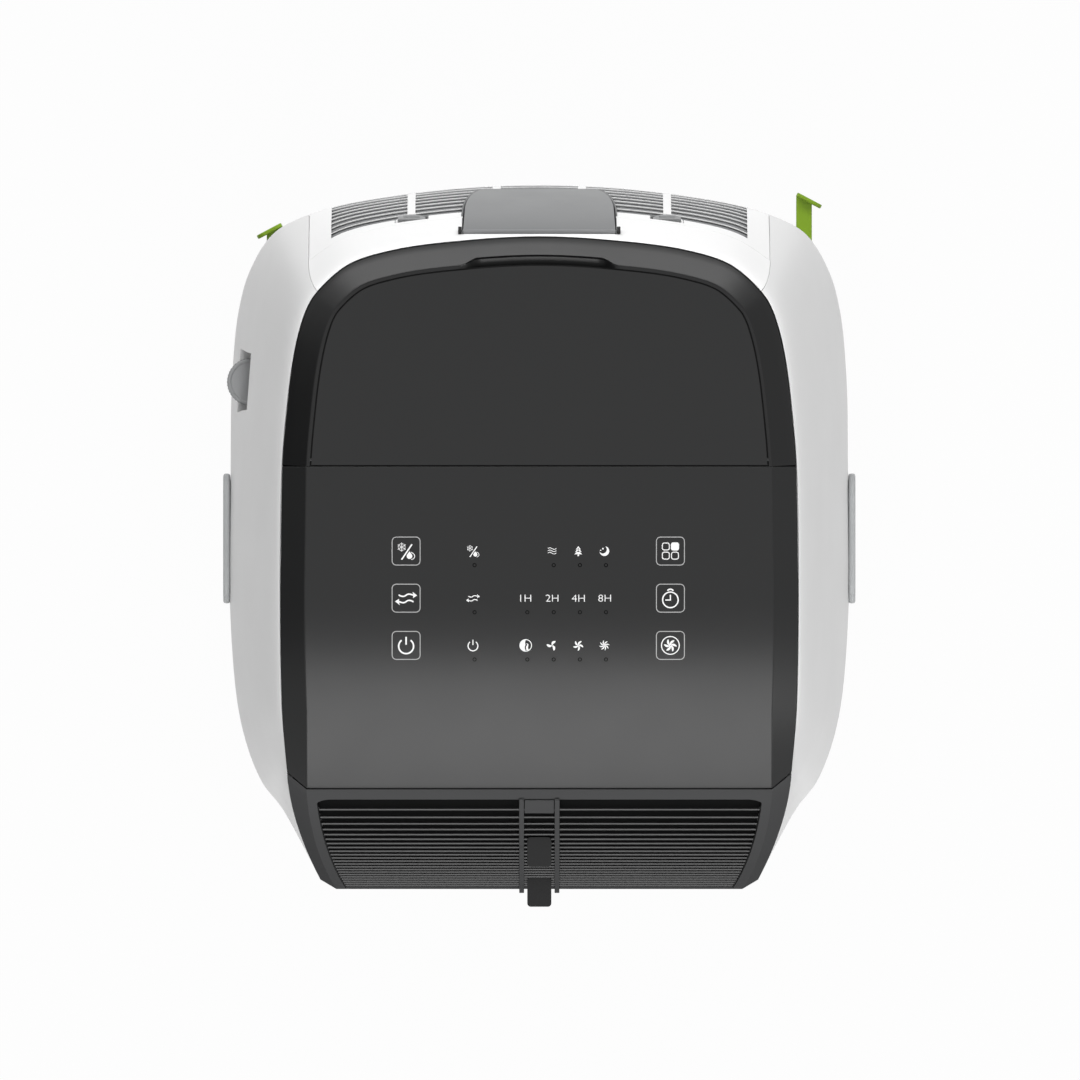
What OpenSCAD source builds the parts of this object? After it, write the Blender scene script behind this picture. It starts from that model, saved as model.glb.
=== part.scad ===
// Portable evaporative air cooler on castors, as an assembly of separate parts.
// Frame: +Z up, front towards -Y, origin on the floor under the middle of the plan box.

/* [Body] */
// Width over the two side shells
body_w = 385; // [375:1:405]
// Depth from the back of the casing to the front face of the outlet
body_d = 438; // [434:1:452]
// Height of the lid above the floor
body_h = 853; // [840:1:880]
// Wall of the moulded shells
wall = 3; // [2.4:0.1:3.4]
// Gap at the seams between fixed mouldings
seam = 0.5; // [0.3:0.1:0.7]

/* [Deck] */
// Width over the black top frame
frame_w = 320; // [314:1:326]
// White band between the back of the casing and the top frame
rear_band = 33; // [30:1:36]
// Width of the sloped border of the top frame
border_w = 15; // [13:0.5:16]
// Height that the sloped border falls
border_drop = 10; // [8:0.5:12]
// Thickness of the lid
lid_t = 4; // [3:0.5:5]
// Gap round the lid
lid_gap = 1; // [0.8:0.1:1.4]
// Distance from the back of the casing to the lid's hinge line
hinge_back = 174; // [170:1:178]
// Depth of the filling basin under the lid
basin_depth = 32; // [24:1:36]

/* [Control panel] */
// Distance from the back of the casing to where the panel starts to roll over
roll_back = 257; // [250:1:262]
// Height that the panel falls over its roll
roll_drop = 36; // [30:1:38]

/* [Outlet] */
// Distance that the outlet's face leans forward over its height
face_run = 64; // [60:1:66]
// Height between two louvers
louver_pitch = 10.2; // [9.8:0.1:10.6]
// Chord of a louver
louver_chord = 14; // [12:0.5:14.5]
// Thickness of a louver at its front edge
louver_t = 2; // [1.6:0.1:2.4]
// Diameter of the louver pins
pin_d = 3; // [2.6:0.1:3.4]
// Radial clearance of the pins in their holes
pin_gap = 0.08; // [0.05:0.01:0.1]
// Width of the strip between the outlet and the edge of its face
face_rim = 6; // [5:0.5:7]
// Length of a louver tab beyond the louver's front edge
tab_len = 16.6; // [14:0.2:18]
// Width of a louver tab
tab_w = 15; // [12:0.5:16]
// Width of the gap between the two centre bars
tab_slot = 19; // [18:0.5:22]

/* [Swing vanes] */
// Chord of a vane
vane_chord = 38; // [34:1:40]
// Thickness of a vane
vane_t = 1.8; // [1.4:0.1:2.2]

/* [Rear grille] */
// Height between two slats of the grille
slat_pitch = 12; // [9:0.5:13]
// Thickness of a slat
slat_t = 3; // [2.4:0.1:3.6]
// Depth of a slat
slat_depth = 8; // [6:0.5:9]
// Width of the bars between the slat sections
bar_w = 5; // [4:0.5:6]
// Height of the grille's bottom edge
grille_z = 345; // [340:1:360]

/* [Carry handle] */
// Width of the flip-up handle at the back
flap_w = 94; // [88:1:98]
// Thickness of the handle
flap_t = 4; // [3.4:0.1:4.6]

/* [Side fittings] */
// Length of a side grip
grip_w = 81; // [76:1:86]
// Height of a side grip
grip_h = 50; // [44:1:54]
// How far a side grip stands out of its shell
grip_out = 4.6; // [3:0.1:5]
// Depth of the finger pocket in a side grip
grip_depth = 24; // [16:1:26]
// Height of the middle of the side grips
grip_z = 560; // [550:1:575]
// Radius of the water flow dial
dial_r = 15; // [13:0.5:16]
// Thickness of the water flow dial
dial_t = 8; // [6:0.5:9]
// Height of the middle of the water flow dial
dial_z = 645; // [640:1:655]
// Height of the cord hooks
hook_z = 500; // [480:1:515]
// Width of a cord hook's stem
hook_w = 10.5; // [8:0.5:12]
// Height of a cord hook's stem
hook_h = 16; // [12:1:18]
// How far the left hook is drawn out
left_out = 3; // [1:0.5:6]
// How far the right hook is drawn out
right_out = 22; // [16:0.5:22]

/* [Base and tank] */
// Height of the underside of the base tray
base_z = 62; // [60:1:66]
// Height of the base tray's rim
base_rim = 58; // [50:1:60]
// Height of the lower edge of the shells
skirt_z = 96; // [92:1:104]
// Outside width of the water tank
tank_w = 276; // [262:1:277]
// Height of the water tank
tank_h = 200; // [170:1:210]
// Diameter of the castor wheels
wheel_d = 50; // [46:1:52]
// Width of a castor wheel
wheel_w = 18; // [16:1:20]
// Diameter of the wheel axles
axle_d = 6; // [5:0.5:7]

/* [Air path] */
// Distance between the chassis side plates
chassis_w = 300; // [296:1:302]
// Thickness of the chassis plates
chassis_t = 2.5; // [2:0.5:3]
// Height of the deck above the tank
deck_z = 302; // [300:1:306]
// Radius of the blower wheel
blower_r = 85; // [78:1:88]
// Length of the blower wheel
blower_l = 250; // [220:2:256]
// Number of blades on the blower wheel
blade_count = 24; // [16:1:32]
// Thickness of the cooling pad
pad_t = 34; // [28:1:35]
// Width of the cooling pad
pad_w = 250; // [220:1:254]

/* [Hidden] */
$fn = 48;
// The louvers, and those of them that carry the upper and the lower tab.
louver_count = 22;
upper_tab = 6;
lower_tab = 19;
half_w = body_w / 2;
top_half_w = frame_w / 2;

function lerp(a, b, t) = a + (b - a) * t;
function clamp01(t) = max(0, min(1, t));
function smooth01(t) = let (c = clamp01(t)) c * c * (3 - 2 * c);

// Lean of every side of the casing from its top edge (0) to its waist (1).
lean_power = 0.7;
lean_over = 0.79;
function lean(t) = (1 + lean_over) * pow(max(t, 0), lean_power) - lean_over * t;

// The first louver and the pitch, as shares of the height of the leaning face.
first_share = 0.0706;
pitch_share = 0.0423;
face_h = louver_pitch / pitch_share;
edge_back = 0.5;
function louver_share(i) = first_share + pitch_share * (i - 1);
tab_over = tab_len - edge_back - face_run * (1 - lean(louver_share(lower_tab)));

rear_y = (body_d + tab_over) / 2;
front_y = rear_y - body_d;
frame_y = rear_y - rear_band;
crease_y = front_y + face_run;
roll_y = rear_y - roll_back;
hinge_y = rear_y - hinge_back;
edge_z = body_h - border_drop;
crease_z = body_h - roll_drop;
front_waist = crease_z - face_h;
rear_waist = edge_z - 130;

// Height of the control panel's middle, which falls along a parabola.
function panel_z(y) = y > roll_y ? body_h
    : body_h - roll_drop * pow((roll_y - y) / (roll_y - crease_y), 2);

// Stations from the middle of the back round to the front edge: share of the
// half width, and share of the depth. First the waist, then the top frame.
waist = [[0, 0], [0.26, 0.0045], [0.52, 0.0185], [0.65, 0.0295], [0.743, 0.042],
    [0.857, 0.068], [0.935, 0.12], [0.974, 0.179], [0.995, 0.273], [1, 0.398],
    [1, 0.62], [0.966, 0.7635], [0.901, 0.8455], [0.831, 0.8865], [0.7095, 0.9859]];
rim = [[0, 0], [0.28, 0.007], [0.5625, 0.025], [0.7375, 0.0524], [0.856, 0.1023],
    [0.894, 0.131], [0.925, 0.1735], [0.953, 0.237], [0.975, 0.322], [0.994, 0.437],
    [1, 0.7215], [0.994, 0.882], [0.986, 0.9425], [0.98, 0.975], [0.975, 1]];
split = 4;
last = len(waist) - 1;
rim_d = frame_y - crease_y - border_drop;

// A smooth curve through the stations, mirrored over the middle of the back.
function station(s, i) = i < 0 ? [-s[-i][0], s[-i][1]] : s[min(i, last)];
function through(a, b, c, d, t) = 0.5 * (2 * b + (c - a) * t
    + (2 * a - 5 * b + 4 * c - d) * t * t + (3 * b - a - 3 * c + d) * t * t * t);
function curve(s, u) = let (i = min(floor(u), last - 1), d = station(s, i + 2))
    through(station(s, i - 1), station(s, i), station(s, i + 1), d, u - i);
function waist_at(u) = let (p = curve(waist, u)) [half_w * p[0], rear_y - body_d * p[1]];
function rim_at(u) = let (p = curve(rim, u)) [top_half_w * p[0], frame_y - rim_d * p[1]];

// A point of the casing: u runs along the stations, v from the top edge (0)
// down to the waist (1) and on to the skirt (2).
front_lag = 0.65;
function waist_z(u) = lerp(rear_waist, front_waist, smooth01((u - split) / 4));
function skin(u, v) = u < 0 ? let (p = skin(-u, v)) [-p[0], p[1], p[2]] :
    let (q = rim_at(u), w = waist_at(u), top = panel_z(q[1]) - border_drop,
        s = v < 1 ? lean(v) : 1, lag = 1 + front_lag * clamp01((u - 11) / 3),
        z = v < 1 ? lerp(top, waist_z(u), v) : lerp(waist_z(u), skirt_z, v - 1))
    [lerp(q[0], w[0], pow(s, lag)), lerp(q[1], w[1], s), z];
function plan(p) = [p[0], p[1]];
function outward(a, b) = let (t = b - a) [-t[1], t[0]] / norm(t);
nudge = 0.02;
function skin_out(u, v) = let (b = min(u, last - nudge))
    outward(plan(skin(b - nudge, v)), plan(skin(b + nudge, v)));
function lining(u, v, t) = u < 0 ? let (p = lining(-u, v, t)) [-p[0], p[1], p[2]] : let (p = skin(u, v),
    n = u > last - 0.1 ? [1, 0] : skin_out(u, v)) [p[0] - t * n[0], p[1] - t * n[1], p[2]];
function rim_in(u, d) = u < 0 ? let (p = rim_in(-u, d)) [-p[0], p[1]] :
    rim_at(u) - d * outward(rim_at(u - nudge), rim_at(u + nudge));
function steps(a, b, n) = [for (i = [0:n]) lerp(a, b, i / n)];
// The station at which the curve round the deck passes a given Y.
function station_at(y, low, high, n = 24) = n == 0 ? (low + high) / 2 : let (mid = (low + high) / 2)
    rim_at(mid)[1] > y ? station_at(y, mid, high, n - 1) : station_at(y, low, mid, n - 1);

// A closed sheet between two grids of points, rows running down or outwards and
// columns clockwise as seen from above.
module sheet(outer, inner) {
    rows = len(outer);
    cols = len(outer[0]);
    n = rows * cols;
    function at(i, j) = j * cols + i;
    skin_faces = [for (j = [0:rows - 2]) for (i = [0:cols - 2])
        let (a = at(i, j), b = at(i + 1, j), c = at(i + 1, j + 1), d = at(i, j + 1))
        each [[a, d, c], [a, c, b], [a + n, b + n, c + n], [a + n, c + n, d + n]]];
    level_rims = [for (i = [0:cols - 2])
        let (a = at(i, 0), b = at(i + 1, 0), c = at(i + 1, rows - 1), d = at(i, rows - 1))
        each [[a, b, b + n], [a, b + n, a + n], [c, d, d + n], [c, d + n, c + n]]];
    side_rims = [for (j = [0:rows - 2])
        let (a = at(0, j), d = at(0, j + 1), b = at(cols - 1, j), c = at(cols - 1, j + 1))
        each [[d, a, a + n], [d, a + n, d + n], [b, c, c + n], [b, c + n, b + n]]];
    polyhedron([for (g = [outer, inner]) for (r = g) each r],
        concat(skin_faces, level_rims, side_rims));
}

// A patch of the casing with a wall of thickness t, whose top edge stays under the deck's lip.
lip_t = 3;
front_drop = 2.2;
function lip_at(u) = lip_t + seam + front_drop * clamp01((abs(u) - 11) / 1.5);
function under_lip(u, v) = let (top = panel_z(rim_at(abs(u))[1]) - border_drop)
    max(v, lip_at(u) / (top - waist_z(abs(u))));
module casing(us, vs, t) {
    sheet([for (v = vs) [for (u = us) skin(u, under_lip(u, v))]],
        [for (v = vs) [for (u = us) lining(u, under_lip(u, v), t)]]);
}

module on_x(x) { translate([x, 0, 0]) rotate([90, 0, 90]) children(); }
module both() { children(); mirror([1, 0, 0]) children(); }
module rounded(w, h, r) {
    square([w - 2 * r, h], center = true);
    square([w, h - 2 * r], center = true);
    for (x = [-1, 1]) for (y = [-1, 1]) translate([x * (w / 2 - r), y * (h / 2 - r)]) circle(r);
}
module box(x, y, z) { translate([x[0], y[0], z[0]]) cube([x[1] - x[0], y[1] - y[0], z[1] - z[0]]); }
module x_rod(x, y, z, d) { translate([x[0], y, z]) rotate([0, 90, 0]) cylinder(d = d, h = x[1] - x[0]); }

white = [0.93, 0.94, 0.94];
black = [0.09, 0.09, 0.1];
grey = [0.6, 0.61, 0.62];
green = [0.55, 0.7, 0.2];

upper_rows = [0, 0.06, 0.14, 0.26, 0.42, 0.62, 0.82, 1];

// ---- Base ---------------------------------------------------------------------
tray_in = wall + seam + 0.5;
tray_floor = 4;
cord_hole_d = 9;
rail_gap = 1.5;
tank_half = tank_w / 2;
tank_front = front_y + 94;
wheel_x = half_w - 67.5;
front_wheel_y = front_y + 74;
rear_wheel_x = half_w - 52.5;
rear_wheel_y = rear_y - 74;
boss_r = 11;
stem_d = 10;
stem_h = 24;
trail = 16;
ear_t = 3;
ear_gap = 1;
ear_r = 8;

function tray_edge(d) = [for (u = steps(0, last, 42)) let (p = waist_at(u),
    n = outward(waist_at(max(u - nudge, 0)), waist_at(min(u + nudge, last)))) p - d * n];
module tray_plan(d) {
    right = tray_edge(d);
    left = [for (i = [len(right) - 1:-1:1]) [-right[i][0], right[i][1]]];
    intersection() {
        polygon(concat(right, left));
        translate([-half_w, front_y + wall + 1.5 + d]) square([body_w, body_d]);
    }
}

module base_tray() {
    color([0.3, 0.31, 0.32]) {
        difference() {
            union() {
                difference() {
                    translate([0, 0, base_z]) linear_extrude(base_rim) tray_plan(tray_in);
                    translate([0, 0, base_z + tray_floor]) linear_extrude(base_rim) tray_plan(tray_in + wall);
                }
                both() translate([wheel_x, front_wheel_y, base_z]) cylinder(r = boss_r, h = stem_h + tray_floor);
                both() box([tank_half + rail_gap, tank_half + rail_gap + wall],
                    [tank_front - rail_gap - wall, rear_y - 45], [base_z + 1, base_z + base_rim - 8]);
                box([-tank_half - rail_gap, tank_half + rail_gap],
                    [tank_front - rail_gap - wall, tank_front - rail_gap], [base_z + 1, base_z + base_rim - 8]);
            }
            box([-half_w * 0.743 - seam, half_w * 0.743 + seam], [rear_y - 40, rear_y + 1],
                [base_z + tray_floor, base_z + base_rim + 1]);
            both() translate([wheel_x, front_wheel_y, base_z - 1])
                cylinder(d = stem_d + 2 * pin_gap, h = stem_h + 1);
            translate([-rear_wheel_x - 20, rear_wheel_y + 30, base_z - 1]) cylinder(d = cord_hole_d, h = tray_floor + 2);
        }
        both() rear_axle();
    }
}
module rear_axle() {
    for (s = [-1, 1]) let (x = rear_wheel_x + s * (wheel_w / 2 + ear_gap + ear_t / 2)) {
        x_rod([x - ear_t / 2, x + ear_t / 2], rear_wheel_y, wheel_d / 2, 2 * ear_r);
        box([x - ear_t / 2, x + ear_t / 2], [rear_wheel_y - ear_r + 0.5, rear_wheel_y + ear_r - 0.5],
            [wheel_d / 2, base_z + 1]);
    }
    x_rod([rear_wheel_x - wheel_w / 2 - 3, rear_wheel_x + wheel_w / 2 + 3], rear_wheel_y, wheel_d / 2, axle_d);
}

module wheel(x, y) {
    translate([x, y, wheel_d / 2]) rotate([0, 90, 0]) rotate([0, 0, 0]) difference() {
        union() {
            cylinder(d = wheel_d - 3, h = wheel_w, center = true);
            cylinder(d = wheel_d, h = wheel_w - 4, center = true);
        }
        cylinder(d = axle_d + 2 * pin_gap, h = wheel_w + 1, center = true);
    }
}

module castor_fork(side) {
    plate_z = base_z - 4;
    translate([side * wheel_x, front_wheel_y, 0]) {
        translate([0, 0, plate_z]) cylinder(r = 17, h = 3.5);
        translate([0, 0, plate_z + 1]) cylinder(d = stem_d, h = stem_h);
        for (s = [-1, 1]) let (x = s * (wheel_w / 2 + ear_gap + ear_t / 2)) {
            x_rod([x - ear_t / 2, x + ear_t / 2], trail, wheel_d / 2, 2 * ear_r);
            on_x(x - ear_t / 2) linear_extrude(ear_t)
                polygon([[trail - ear_r + 0.5, wheel_d / 2], [trail + ear_r - 0.5, wheel_d / 2],
                    [10, plate_z + 1], [-12, plate_z + 1]]);
        }
        x_rod([-wheel_w / 2 - 3, wheel_w / 2 + 3], trail, wheel_d / 2, axle_d);
    }
}
module castor_fork_left() { color(grey) castor_fork(-1); }
module castor_fork_right() { color(grey) castor_fork(1); }
module castor_wheel_left() { color([0.2, 0.2, 0.2]) wheel(-wheel_x, front_wheel_y + trail); }
module castor_wheel_right() { color([0.2, 0.2, 0.2]) wheel(wheel_x, front_wheel_y + trail); }
module rear_wheel_left() { color([0.2, 0.2, 0.2]) wheel(-rear_wheel_x, rear_wheel_y); }
module rear_wheel_right() { color([0.2, 0.2, 0.2]) wheel(rear_wheel_x, rear_wheel_y); }

// ---- Chassis --------------------------------------------------------------------
chassis_half = chassis_w / 2;
chassis_front = front_y + 74;
chassis_rear = rear_y - 74;
inlet_r = 68;
blower_y = 12;
blower_z = front_waist + 78;
hook_x = half_w - 27.4;
pad_y = rear_y - 83;
riser_d = 12;
riser_x = chassis_half - 12;
riser_y = pad_y + 12;
frame_foot = 0.6;

module chassis() {
    top = edge_z - lip_t - frame_foot;
    color([0.75, 0.76, 0.77]) difference() {
        union() {
            both() on_x(chassis_half - chassis_t) linear_extrude(chassis_t)
                polygon([[chassis_front, base_z + tray_floor + 0.4], [chassis_rear, base_z + tray_floor + 0.4],
                    [chassis_rear, body_h - 66], [hinge_y + 42, top], [hinge_y + 12, top],
                    [hinge_y + 12, body_h - 53], [roll_y - 30, body_h - 53], [chassis_front, body_h - 76]]);
            box([-chassis_half + 1, chassis_half - 1], [chassis_front, chassis_rear], [deck_z, deck_z + 3]);
            box([-pad_w / 2 - 8, pad_w / 2 + 8], [chassis_rear - 1, pad_y + pad_t + 6], [deck_z, deck_z + 3]);
            both() box([chassis_half - 1, hook_x + hook_w / 2 + 2], [rear_y - 124, rear_y - 74],
                [hook_z - hook_h / 2 - 2, hook_z + hook_h / 2 + 2]);
        }
        both() box([hook_x - hook_w / 2 - seam, hook_x + hook_w / 2 + seam], [rear_y - 140, rear_y],
            [hook_z - hook_h / 2 - seam, hook_z + hook_h / 2 + seam]);
        x_rod([-chassis_half - 1, chassis_half + 1], blower_y, blower_z, 2 * inlet_r + 20);
        translate([riser_x, riser_y, deck_z - 1]) cylinder(d = riser_d + 1, h = 5);
        box([-90, 90], [pad_y + 6, pad_y + 26], [deck_z - 1, deck_z + 4]);
    }
}

// ---- Side shells ------------------------------------------------------------------
side_us = [split, 4.35, 4.7, 5, 5.4, 5.8, 6.2, 6.7, 7.3, 8, 8.7, 9.3, 10, 10.5, 11, 11.4, 11.8,
    12.2, 12.6, 13, 13.3, 13.65, 13.985];
side_vs = concat(upper_rows, [2]);
grip_y = 5;
lip_w = 17.2;
lip_off = 3.3;
hook_skew = 28;

module side_shell() {
    difference() {
        casing(side_us, side_vs, wall);
        box([half_w - 30, half_w + 5], [grip_y - grip_w / 2 + 3, grip_y + grip_w / 2 - 3],
            [grip_z - grip_h / 2 + 3, grip_z + grip_h / 2 - 3]);
        box([hook_x - hook_w / 2 - seam, hook_x + hook_w / 2 + seam], [rear_y - 80, rear_y],
            [hook_z - hook_h / 2 - seam, hook_z + hook_h / 2 + seam]);
    }
}

dial_x = -half_w + 13.1;
dial_y = rear_y - 122;
pocket_w = 42;
module side_shell_left() {
    color(white) difference() {
        union() {
            mirror([1, 0, 0]) side_shell();
            mirror([1, 0, 0]) casing(steps(6.9, 8.5, 4), [0.34, 0.45, 0.56, 0.67, 0.78, 0.9], 17);
        }
        box([dial_x - 20, dial_x + 0.5], [dial_y - pocket_w / 2, dial_y + pocket_w / 2],
            [dial_z - dial_t / 2 - 1, dial_z + 90]);
        translate([dial_x, dial_y, dial_z - dial_t / 2 - 1]) cylinder(r = dial_r + 1, h = dial_t + 2);
        translate([dial_x, dial_y, dial_z - 40]) cylinder(d = 5 + 2 * pin_gap, h = 40);
    }
}
module side_shell_right() { color(white) side_shell(); }

module flow_dial() {
    color([0.82, 0.83, 0.83]) {
        translate([dial_x, dial_y, dial_z - dial_t / 2]) cylinder(r = dial_r, h = dial_t);
        translate([dial_x, dial_y, dial_z - dial_t / 2 - 7]) cylinder(d = 5, h = 8);
    }
}

module side_grip() {
    face_x = half_w + grip_out;
    on_x(half_w + 0.4) linear_extrude(grip_out - 0.4) translate([grip_y, grip_z]) difference() {
        rounded(grip_w, grip_h, 14);
        rounded(grip_w - 14, grip_h - 14, 9);
    }
    difference() {
        on_x(face_x - grip_depth) linear_extrude(grip_depth - 1) translate([grip_y, grip_z])
            rounded(grip_w - 8, grip_h - 8, 11);
        on_x(face_x - grip_depth + wall) linear_extrude(grip_depth) translate([grip_y, grip_z])
            rounded(grip_w - 14, grip_h - 14, 9);
    }
}
module side_grip_left() { color([0.84, 0.85, 0.85]) mirror([1, 0, 0]) side_grip(); }
module side_grip_right() { color([0.84, 0.85, 0.85]) side_grip(); }

// A cord hook: a stem that slides through the shell, with a skewed lip at its end.
hook_home = rear_y - 30.5;
stem_len = 90;
module cord_hook(out) {
    y = hook_home + out;
    translate([hook_x, y, hook_z]) {
        translate([-hook_w / 2, -stem_len, -hook_h / 2]) cube([hook_w, stem_len, hook_h]);
        translate([lip_off, 0, 0]) rotate([90, 0, -hook_skew]) linear_extrude(3.2, center = true) rounded(lip_w, hook_h + 8, 5);
    }
}
module cord_hook_left() { color(green) mirror([1, 0, 0]) cord_hook(left_out); }
module cord_hook_right() { color(green) cord_hook(right_out); }

// ---- Rear ---------------------------------------------------------------------------
// Profile of the middle of the back, from the top edge (0) to the waist (1).
function back_at(v) = [frame_y + rear_band * lean(v), lerp(edge_z, rear_waist, v)];
function back_out(v) = let (a = back_at(max(v - 0.004, 0.001)), b = back_at(v + 0.004), t = b - a)
    [-t[1], t[0]] / norm(t);
function back_off(v, d) = back_at(v) + d * back_out(v);
slot_share = 0.215;
cover_vs = [0, 0.04, 0.07, 0.11, 0.16, slot_share];
hinge_share = 0.045;
knuckle_r = 3.5;
flap_end = 0.85;
flap_half = flap_w / 2;
pan_vs = [0.02, 0.06, 0.12, 0.2, 0.32, 0.46, 0.6, 0.74, 0.9];
flap_vs = [hinge_share, 0.06, 0.09, 0.14, 0.2, 0.32, 0.46, 0.6, 0.74, flap_end];
flap_pin = back_off(hinge_share, -knuckle_r);
flap_pin_d = 4;
pan_deep = 10;
pan_gap = 0.8;
pan_t = 2.6;
latch_x = 79;
latch_r = 8.7;
latch_share = 0.29;
latch_travel = 3;
seat_rim = 1.5;
function sag(x, r) = r - sqrt(r * r - x * x);
rear_r = 600;
end_x = 140;
function row_y(v) = frame_y + rear_band * lean(v);
function row_end(v) = let (a = rim_at(split), b = waist_at(split)) lerp(a[1], b[1], lean(v));
function row_r(v) = v >= 1 ? rear_r : let (s = row_y(v) - row_end(v)) (end_x * end_x + s * s) / (2 * s);
function share_at(z) = clamp01((edge_z - z) / (edge_z - rear_waist));
latch_z = edge_z - latch_share * (edge_z - rear_waist);
latch_y = row_y(latch_share) - sag(latch_x, row_r(latch_share));
latch_lean = let (n = back_out(latch_share)) atan2(n[1], n[0]);

// The strip between two offsets of the back's profile, as a closed outline.
function strip(vs, near, far) = concat([for (v = vs) back_off(v, near)],
    [for (i = [len(vs) - 1:-1:0]) back_off(vs[i], far)]);

// Local Z points out of the back, local Y down its slope, with the latch's round end foremost.
module latch_frame(side) {
    translate([side * latch_x, latch_y, latch_z]) rotate([latch_lean - 90, 0, 0]) children();
}
module latch_plan(d) {
    r = latch_r + d;
    intersection() {
        circle(r);
        translate([-r, 0]) square([2 * r, r]);
    }
    translate([-r, -3 - d]) square([2 * r, 3 + d]);
}

module rear_top_cover() {
    color(white) difference() {
        union() {
            casing(steps(-split + 0.03, split - 0.03, 30), cover_vs, wall);
            for (x = [-flap_half - pan_gap - pan_t, flap_half + pan_gap]) on_x(x) linear_extrude(pan_t) {
                polygon(strip(pan_vs, -5, -pan_deep - 2));
                polygon(strip([for (v = pan_vs) if (v < slot_share) v], -0.6, -pan_deep - 2));
            }
            on_x(-flap_half - pan_gap - 1) linear_extrude(flap_w + 2 * pan_gap + 2)
                polygon(strip(pan_vs, -pan_deep, -pan_deep - 2));
        }
        on_x(-flap_half - pan_gap) linear_extrude(flap_w + 2 * pan_gap)
            polygon(strip([0.001, 0.04, 0.09, 0.2, 0.4], 8, -pan_deep));
        x_rod([-flap_half - 6, flap_half + 6], flap_pin[0], flap_pin[1], flap_pin_d + 2 * pin_gap);
        for (s = [-1, 1]) latch_frame(s) translate([0, 0, -12]) linear_extrude(20) latch_plan(seat_rim + seam);
    }
}

module carry_handle() {
    color(grey) {
        difference() {
            on_x(-flap_half) linear_extrude(flap_w) polygon(strip(flap_vs, 0, -flap_t));
            for (s = [-1, 1]) translate([s * flap_half, 0, back_at(flap_end)[1]])
                rotate([90, 0, 0]) translate([0, 0, -rear_y - 20]) linear_extrude(60)
                    difference() {
                        square(24, center = true);
                        translate([-s * 12, 12]) circle(12);
                    }
        }
        x_rod([-flap_half - 3, -flap_half + 6], flap_pin[0], flap_pin[1], flap_pin_d);
        x_rod([flap_half - 6, flap_half + 3], flap_pin[0], flap_pin[1], flap_pin_d);
        x_rod([-flap_half, flap_half], flap_pin[0], flap_pin[1], 2 * knuckle_r);
    }
}

latch_stem = [7, 5];
latch_slack = 0.4;
module grille_latch(side) {
    latch_frame(side) {
        translate([0, 0, latch_slack]) linear_extrude(2.4) latch_plan(0);
        translate([0, 0, -8]) linear_extrude(9) square(latch_stem, center = true);
        translate([0, 0, -8.2]) linear_extrude(2.4) square(latch_stem + [5, 4], center = true);
    }
}
module latch_seat(side) {
    latch_frame(side) translate([0, 0, -5.4]) linear_extrude(5.4) latch_plan(seat_rim);
}
module latch_room(side) {
    latch_frame(side) {
        translate([0, latch_travel / 2, -12]) linear_extrude(20)
            square(latch_stem + [2 * latch_slack, latch_travel + 2 * latch_slack], center = true);
        translate([0, latch_travel / 2, -16]) linear_extrude(16 - 5.4)
            square(latch_stem + [7, latch_travel + 6], center = true);
        translate([0, 0, 0]) linear_extrude(20) square(4 * latch_r, center = true);
    }
}
module grille_latch_left() { color(grey) grille_latch(-1); }
module grille_latch_right() { color(grey) grille_latch(1); }

grille_top = back_at(slot_share)[1] - seam;
bar_zs = concat([for (i = [0:8]) lerp(grille_top - slat_t / 2, rear_waist, i / 8)], [grille_z]);
function grille_y(x, z) = let (v = share_at(z)) row_y(v) - sag(x, row_r(v));
pan_half = flap_half + pan_gap + pan_t + 1.6;
pan_z = back_at(pan_vs[len(pan_vs) - 1])[1] - 6;
module slat(z, x0, x1) {
    v = share_at(z);
    r = row_r(v);
    a = asin(x0 / r);
    b = asin(x1 / r);
    translate([0, row_y(v) - r, z]) rotate([0, 0, 90 - b]) rotate_extrude(angle = b - a, $fn = 180)
        translate([r - slat_depth, 0]) square([slat_depth, slat_t]);
}
module bar(x, w, top, near = 0) {
    zs = [for (z = bar_zs) if (z <= top) z];
    outer = [for (z = zs) [grille_y(abs(x) + w / 2, z) - near, z]];
    inner = [for (i = [len(zs) - 1:-1:0]) [grille_y(abs(x) + w / 2, zs[i]) - slat_depth, zs[i]]];
    on_x(x - w / 2) linear_extrude(w) polygon(concat(outer, inner));
}
slat_end = min(rim_at(split)[0], waist_at(split)[0] - 3) - 1.4;
stile_w = 10;
module rear_grille() {
    color(white) difference() {
        union() {
            for (z = [grille_z + 3 * slat_pitch:slat_pitch:grille_top - 2 * slat_t])
                if (z + slat_t > pan_z) {
                    slat(z, -slat_end, -pan_half);
                    slat(z, pan_half, slat_end);
                } else slat(z, -slat_end, slat_end);
            for (s = [-1, 1]) {
                slat(grille_top - slat_t, min(s * slat_end, s * pan_half), max(s * slat_end, s * pan_half));
                bar(s * (slat_end + 2 - stile_w / 2), stile_w, body_h);
                bar(s * (pan_half + 1.5), 3, body_h, 4.5);
                bar(s * 79.2, bar_w, body_h);
                bar(s * 26.5, bar_w, pan_z);
                latch_seat(s);
            }
            rail_r = rear_r;
            translate([0, rear_y - rail_r, grille_z]) rotate([0, 0, 90 - asin(slat_end / rail_r)])
                rotate_extrude(angle = 2 * asin(slat_end / rail_r), $fn = 180)
                    translate([rail_r - slat_depth, 0]) square([slat_depth, 2.6 * slat_pitch]);
        }
        for (s = [-1, 1]) latch_room(s);
    }
}

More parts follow.
